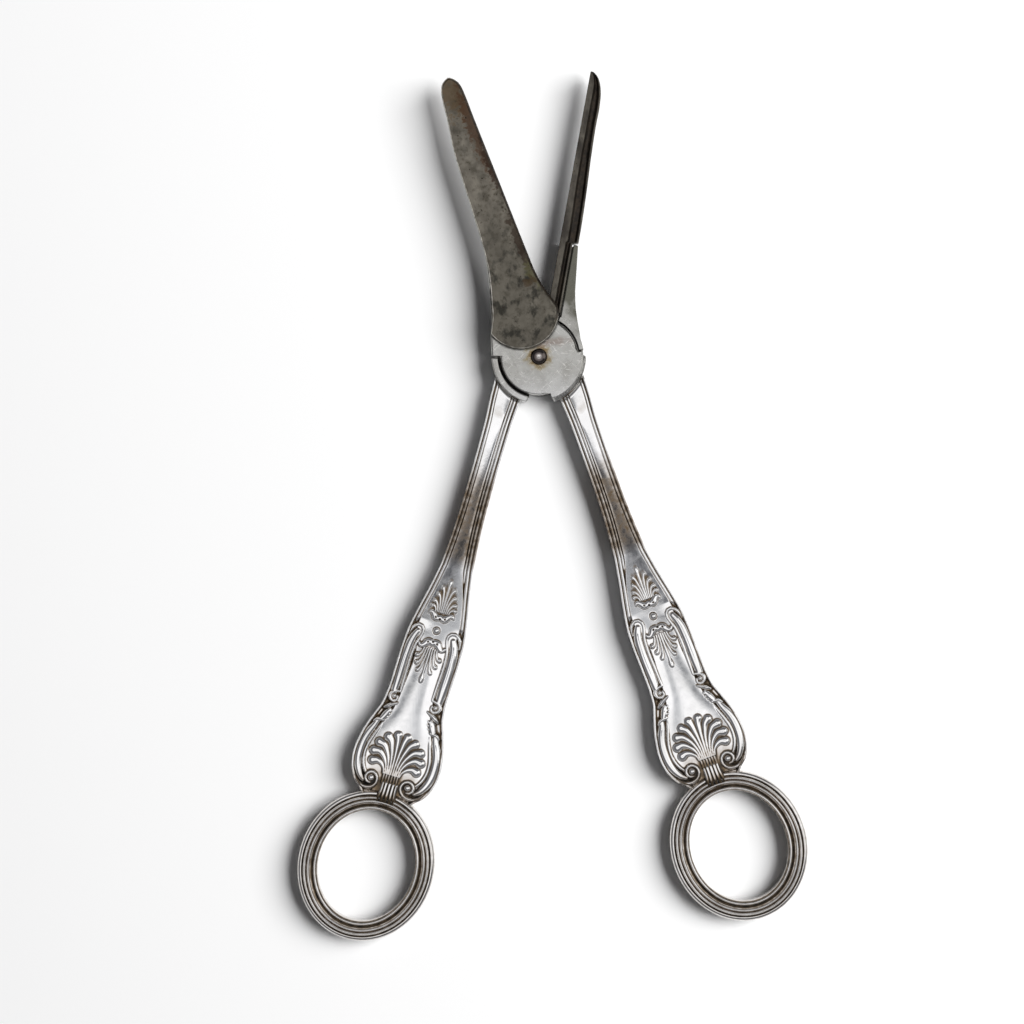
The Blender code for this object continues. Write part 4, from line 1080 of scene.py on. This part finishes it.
def rear_blade_surface(steel):
    """The channelled jaw: its section swept from the collar, whose arc shapes its first end, past the
    step at the wall's end and on to the narrow tip."""
    heel = np.linspace(0, 1, 10)
    jaw = np.concatenate([np.linspace(REAR_STEP + 0.35, 50, 30), np.linspace(50, REAR_LENGTH, 30)[1:]])
    stations = [(share, 0, REAR_TANG) for share in heel]
    stations += [(1, place, float(through(REAR_WIDTHS, place))) for place in jaw]
    rows = []
    for share, place, width in stations:
        reached = max(place, REAR_START + share * (REAR_STEP - REAR_START))
        low = REAR_BASE + (REAR_TIP_BASE - REAR_BASE) * reached / REAR_LENGTH
        land = CUTTING_LAND + LAND_GROWTH * ramp(reached, 40.0, 22.0) if place else TANG_LAND
        section = rear_section(width, low, land)
        start = np.sqrt(REAR_START**2 - section[:, 0] ** 2)
        along = place if place else start + share * (REAR_STEP - start)
        rows.append(np.column_stack([along * np.ones(len(section)), section]))
    along, across, height, grime_and_shade = np.moveaxis(np.array(rows), -1, 0)
    c, s = math.cos(REAR_BLADE_ANGLE), math.sin(REAR_BLADE_ANGLE)
    rows = np.stack([along * s + across * c, along * c - across * s, height], -1)
    piece = loft("rear_blade_channelled", rows, steel, False)
    mark(piece, "tarnish_and_shade", grime_and_shade)
    crisp(piece, 40)
    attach(piece, "rear_half")
    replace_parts(piece, "rear_blade")


# Rivet

RIVET_SHANK = 1.1
RIVET_HEAD = 1.5
RIVET_DOME = 0.6
# From the tail's face up the shank to the edge of the head: radius, height
RIVET = (
    (1.3, 0.0), (1.66, 0.0), (1.7, 0.03), (RIVET_SHANK + 0.02, 0.78), (RIVET_SHANK, 0.84),
    (RIVET_SHANK, FRONT_FACE), (RIVET_HEAD - 0.06, FRONT_FACE), (RIVET_HEAD, FRONT_FACE + 0.04),
)


def rivet_surface(material):
    """Turned about the pivot: a flush tail, a shank, and a head that follows a quarter of an oval."""
    quarter = np.linspace(0.08, math.pi / 2 - 0.03, 12)
    dome = np.stack([RIVET_HEAD * np.cos(quarter), FRONT_FACE + RIVET_DOME * np.sin(quarter)], 1)
    profile = np.concatenate([RIVET, dome])
    turn = np.linspace(0, 2 * math.pi, 64, endpoint=False)
    radius, height = profile[:, :1], np.repeat(profile[:, 1:], len(turn), 1)
    rows = np.stack([radius * np.cos(turn), radius * np.sin(turn), height], -1)
    piece = loft("pivot_rivet_turned", rows, material)
    crisp(piece, 35)
    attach(piece, "rear_half")
    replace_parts(piece, "pivot_rivet")


# Scene


# How far the floor lies below the lowest point, in millimetres
FLOOR_GAP = 0.02
# Floor and lamp, in metres and watts
FLOOR_HALF = 1.5
LAMP_PLACE = (1.06, 0.18, 0.94)
LAMP_SIZE = 1.1
LAMP_POWER = 37


def studio():
    """A white floor, one soft lamp at the right and the room overhead."""
    half, level = FLOOR_HALF, cad_low[2] - FLOOR_GAP * MM
    corners = [(-half, -half, level), (half, -half, level), (half, half, level), (-half, half, level)]
    mesh = bpy.data.meshes.new("floor")
    mesh.from_pydata(corners, [], [(0, 1, 2, 3)])
    floor = add_object("floor", mesh)
    paper, tree = new_material("matt_white_paper")
    feed_surface(tree, {"Base Color": "#fdfdfd", "Roughness": 0.9, "Specular IOR Level": 0.0})
    mesh.materials.append(paper)
    lamp()
    room()


def lamp():
    """A square soft lamp that faces the pivot. The metal doesn't mirror it, but a white panel of the room
    in the same direction."""
    light = bpy.data.lights.new("key", "AREA")
    light.size = LAMP_SIZE
    light.energy = LAMP_POWER
    made = add_object("key", light)
    made.visible_glossy = False
    made.location = LAMP_PLACE
    made.rotation_euler = (-made.location).to_track_quat("-Z", "Y").to_euler()


def cosine(degrees):
    return math.cos(math.radians(degrees))


# The camera's body and arm as the table sees them, on a plane one unit up: the middle of the spot, and
# the scale of its two axes, along which it is narrower the greater the scale
CAMERA_BODY = ((-0.002, -0.07), (1.0, 0.55))
CAMERA_ARM = ((0.009, -0.003), (0.22, 1.6))
# Strength of the room as the metal mirrors it and as it lights the floor, and the share of it in view
ROOM_STRENGTH = 1.2
ROOM_ON_PAPER = 0.15
ROOM_SEEN = 0.83


def room():
    """The room above the table: a white ceiling with the dark camera and its arm in the middle, and
    grey walls. The room gives the floor less light than it shows in the metal."""
    world = bpy.data.worlds.new("room")
    bpy.context.scene.world = world
    world.use_nodes = True
    tree = world.node_tree
    direction = add_node(tree, "TexCoord", output="Generated")
    height = add_node(tree, "SeparateXYZ", direction, output="Z")
    walls = graded(tree, height, (0.0, 0.55), "#929292", "#5f5f62")
    seen = graded(tree, height, (cosine(38), cosine(24)), walls, "#f6f6f8")
    far = math.dist(LAMP_PLACE, (0, 0, 0))
    towards = add_node(tree, "VectorMath", direction, [c / far for c in LAMP_PLACE], operation="DOT_PRODUCT")
    seen = graded(tree, towards, (cosine(25), cosine(18)), seen, "#ffffff")
    body = oval_distance(tree, direction, (*CAMERA_BODY[0], 1), (*CAMERA_BODY[1], 0))
    arm = oval_distance(tree, direction, (*CAMERA_ARM[0], 1), (*CAMERA_ARM[1], 0))
    seen = graded(tree, body, (0.026, 0.062), "#b0b2b6", seen)
    shade = graded(tree, arm, (0.036, 0.061), "#4a4b4f", "#a6a8ac")
    seen = graded(tree, arm, (0.061, 0.094), shade, seen)
    in_view = add_node(tree, "LightPath", output="Is Camera Ray")
    seen = add_node(tree, "Mix", in_view, seen, "#f4f4f4", data_type="RGBA")
    on_paper = add_node(tree, "LightPath", output="Is Diffuse Ray")
    strength = add_node(tree, "MapRange", on_paper, 0.0, 1.0, ROOM_STRENGTH, ROOM_ON_PAPER)
    weaker = add_node(tree, "MapRange", in_view, 0.0, 1.0, 1.0, ROOM_SEEN)
    strength = add_node(tree, "Math", strength, weaker, operation="MULTIPLY")
    background = tree.nodes["Background"]
    fill(tree, background.inputs["Color"], seen)
    fill(tree, background.inputs["Strength"], strength)


# The camera looks straight down: its place, its turn, and its lens and sensor in millimetres
CAMERA_PLACE = (-6.3, -30.8, 423.0)
CAMERA_ROLL = math.radians(-1.73)
LENS = 73.8
SENSOR = 36.0


def camera():
    data = bpy.data.cameras.new("camera")
    data.lens = LENS
    data.sensor_width = SENSOR
    made = add_object("camera", data)
    made.location = metres(CAMERA_PLACE)
    made.rotation_euler = (0, 0, CAMERA_ROLL)
    bpy.context.scene.camera = made


# Each half: its side, reach, the way its handle turns out, shift of its pattern outwards, and body
HALVES = (("left", LEFT_REACH, 1, 0.3, "rear_half"), ("right", RIGHT_REACH, -1, 0.0, "front_half"))
# Rounding of the plates' edges
REAR_PLATE_EDGE = 0.25
FRONT_PLATE_EDGE = 0.36


def build():
    struck = struck_silver_plate()
    steel = old_blade_steel()
    for side, reach, way, shift, body in HALVES:
        face = np.stack(handle_face(reach, shift), -1)
        for name, facing in (("_handle_face", 1), ("_handle_back", -1)):
            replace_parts(handle_skin(side + name, face, way, facing, body, struck), side + "_handle")
        ring = ring_surface(side + "_finger_ring_reeded", reach, way, body, struck)
        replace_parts(ring, side + "_finger_ring")
        binding_surface(side + "_binding", reach, way, body, struck)
    worn = ground_silver_plate("silver_plate_worn_rear", True)
    softened_plate("rear_joint_plate", REAR_PLATE_EDGE, "rear_half", worn)
    worn = ground_silver_plate("silver_plate_worn_front", False)
    softened_plate("front_joint_plate", FRONT_PLATE_EDGE, "front_half", worn)
    front_blade_surface(steel)
    rear_blade_surface(steel)
    rivet_surface(dark_rivet_steel())


camera()
studio()
build()
bpy.context.scene.view_settings.view_transform = "Standard"
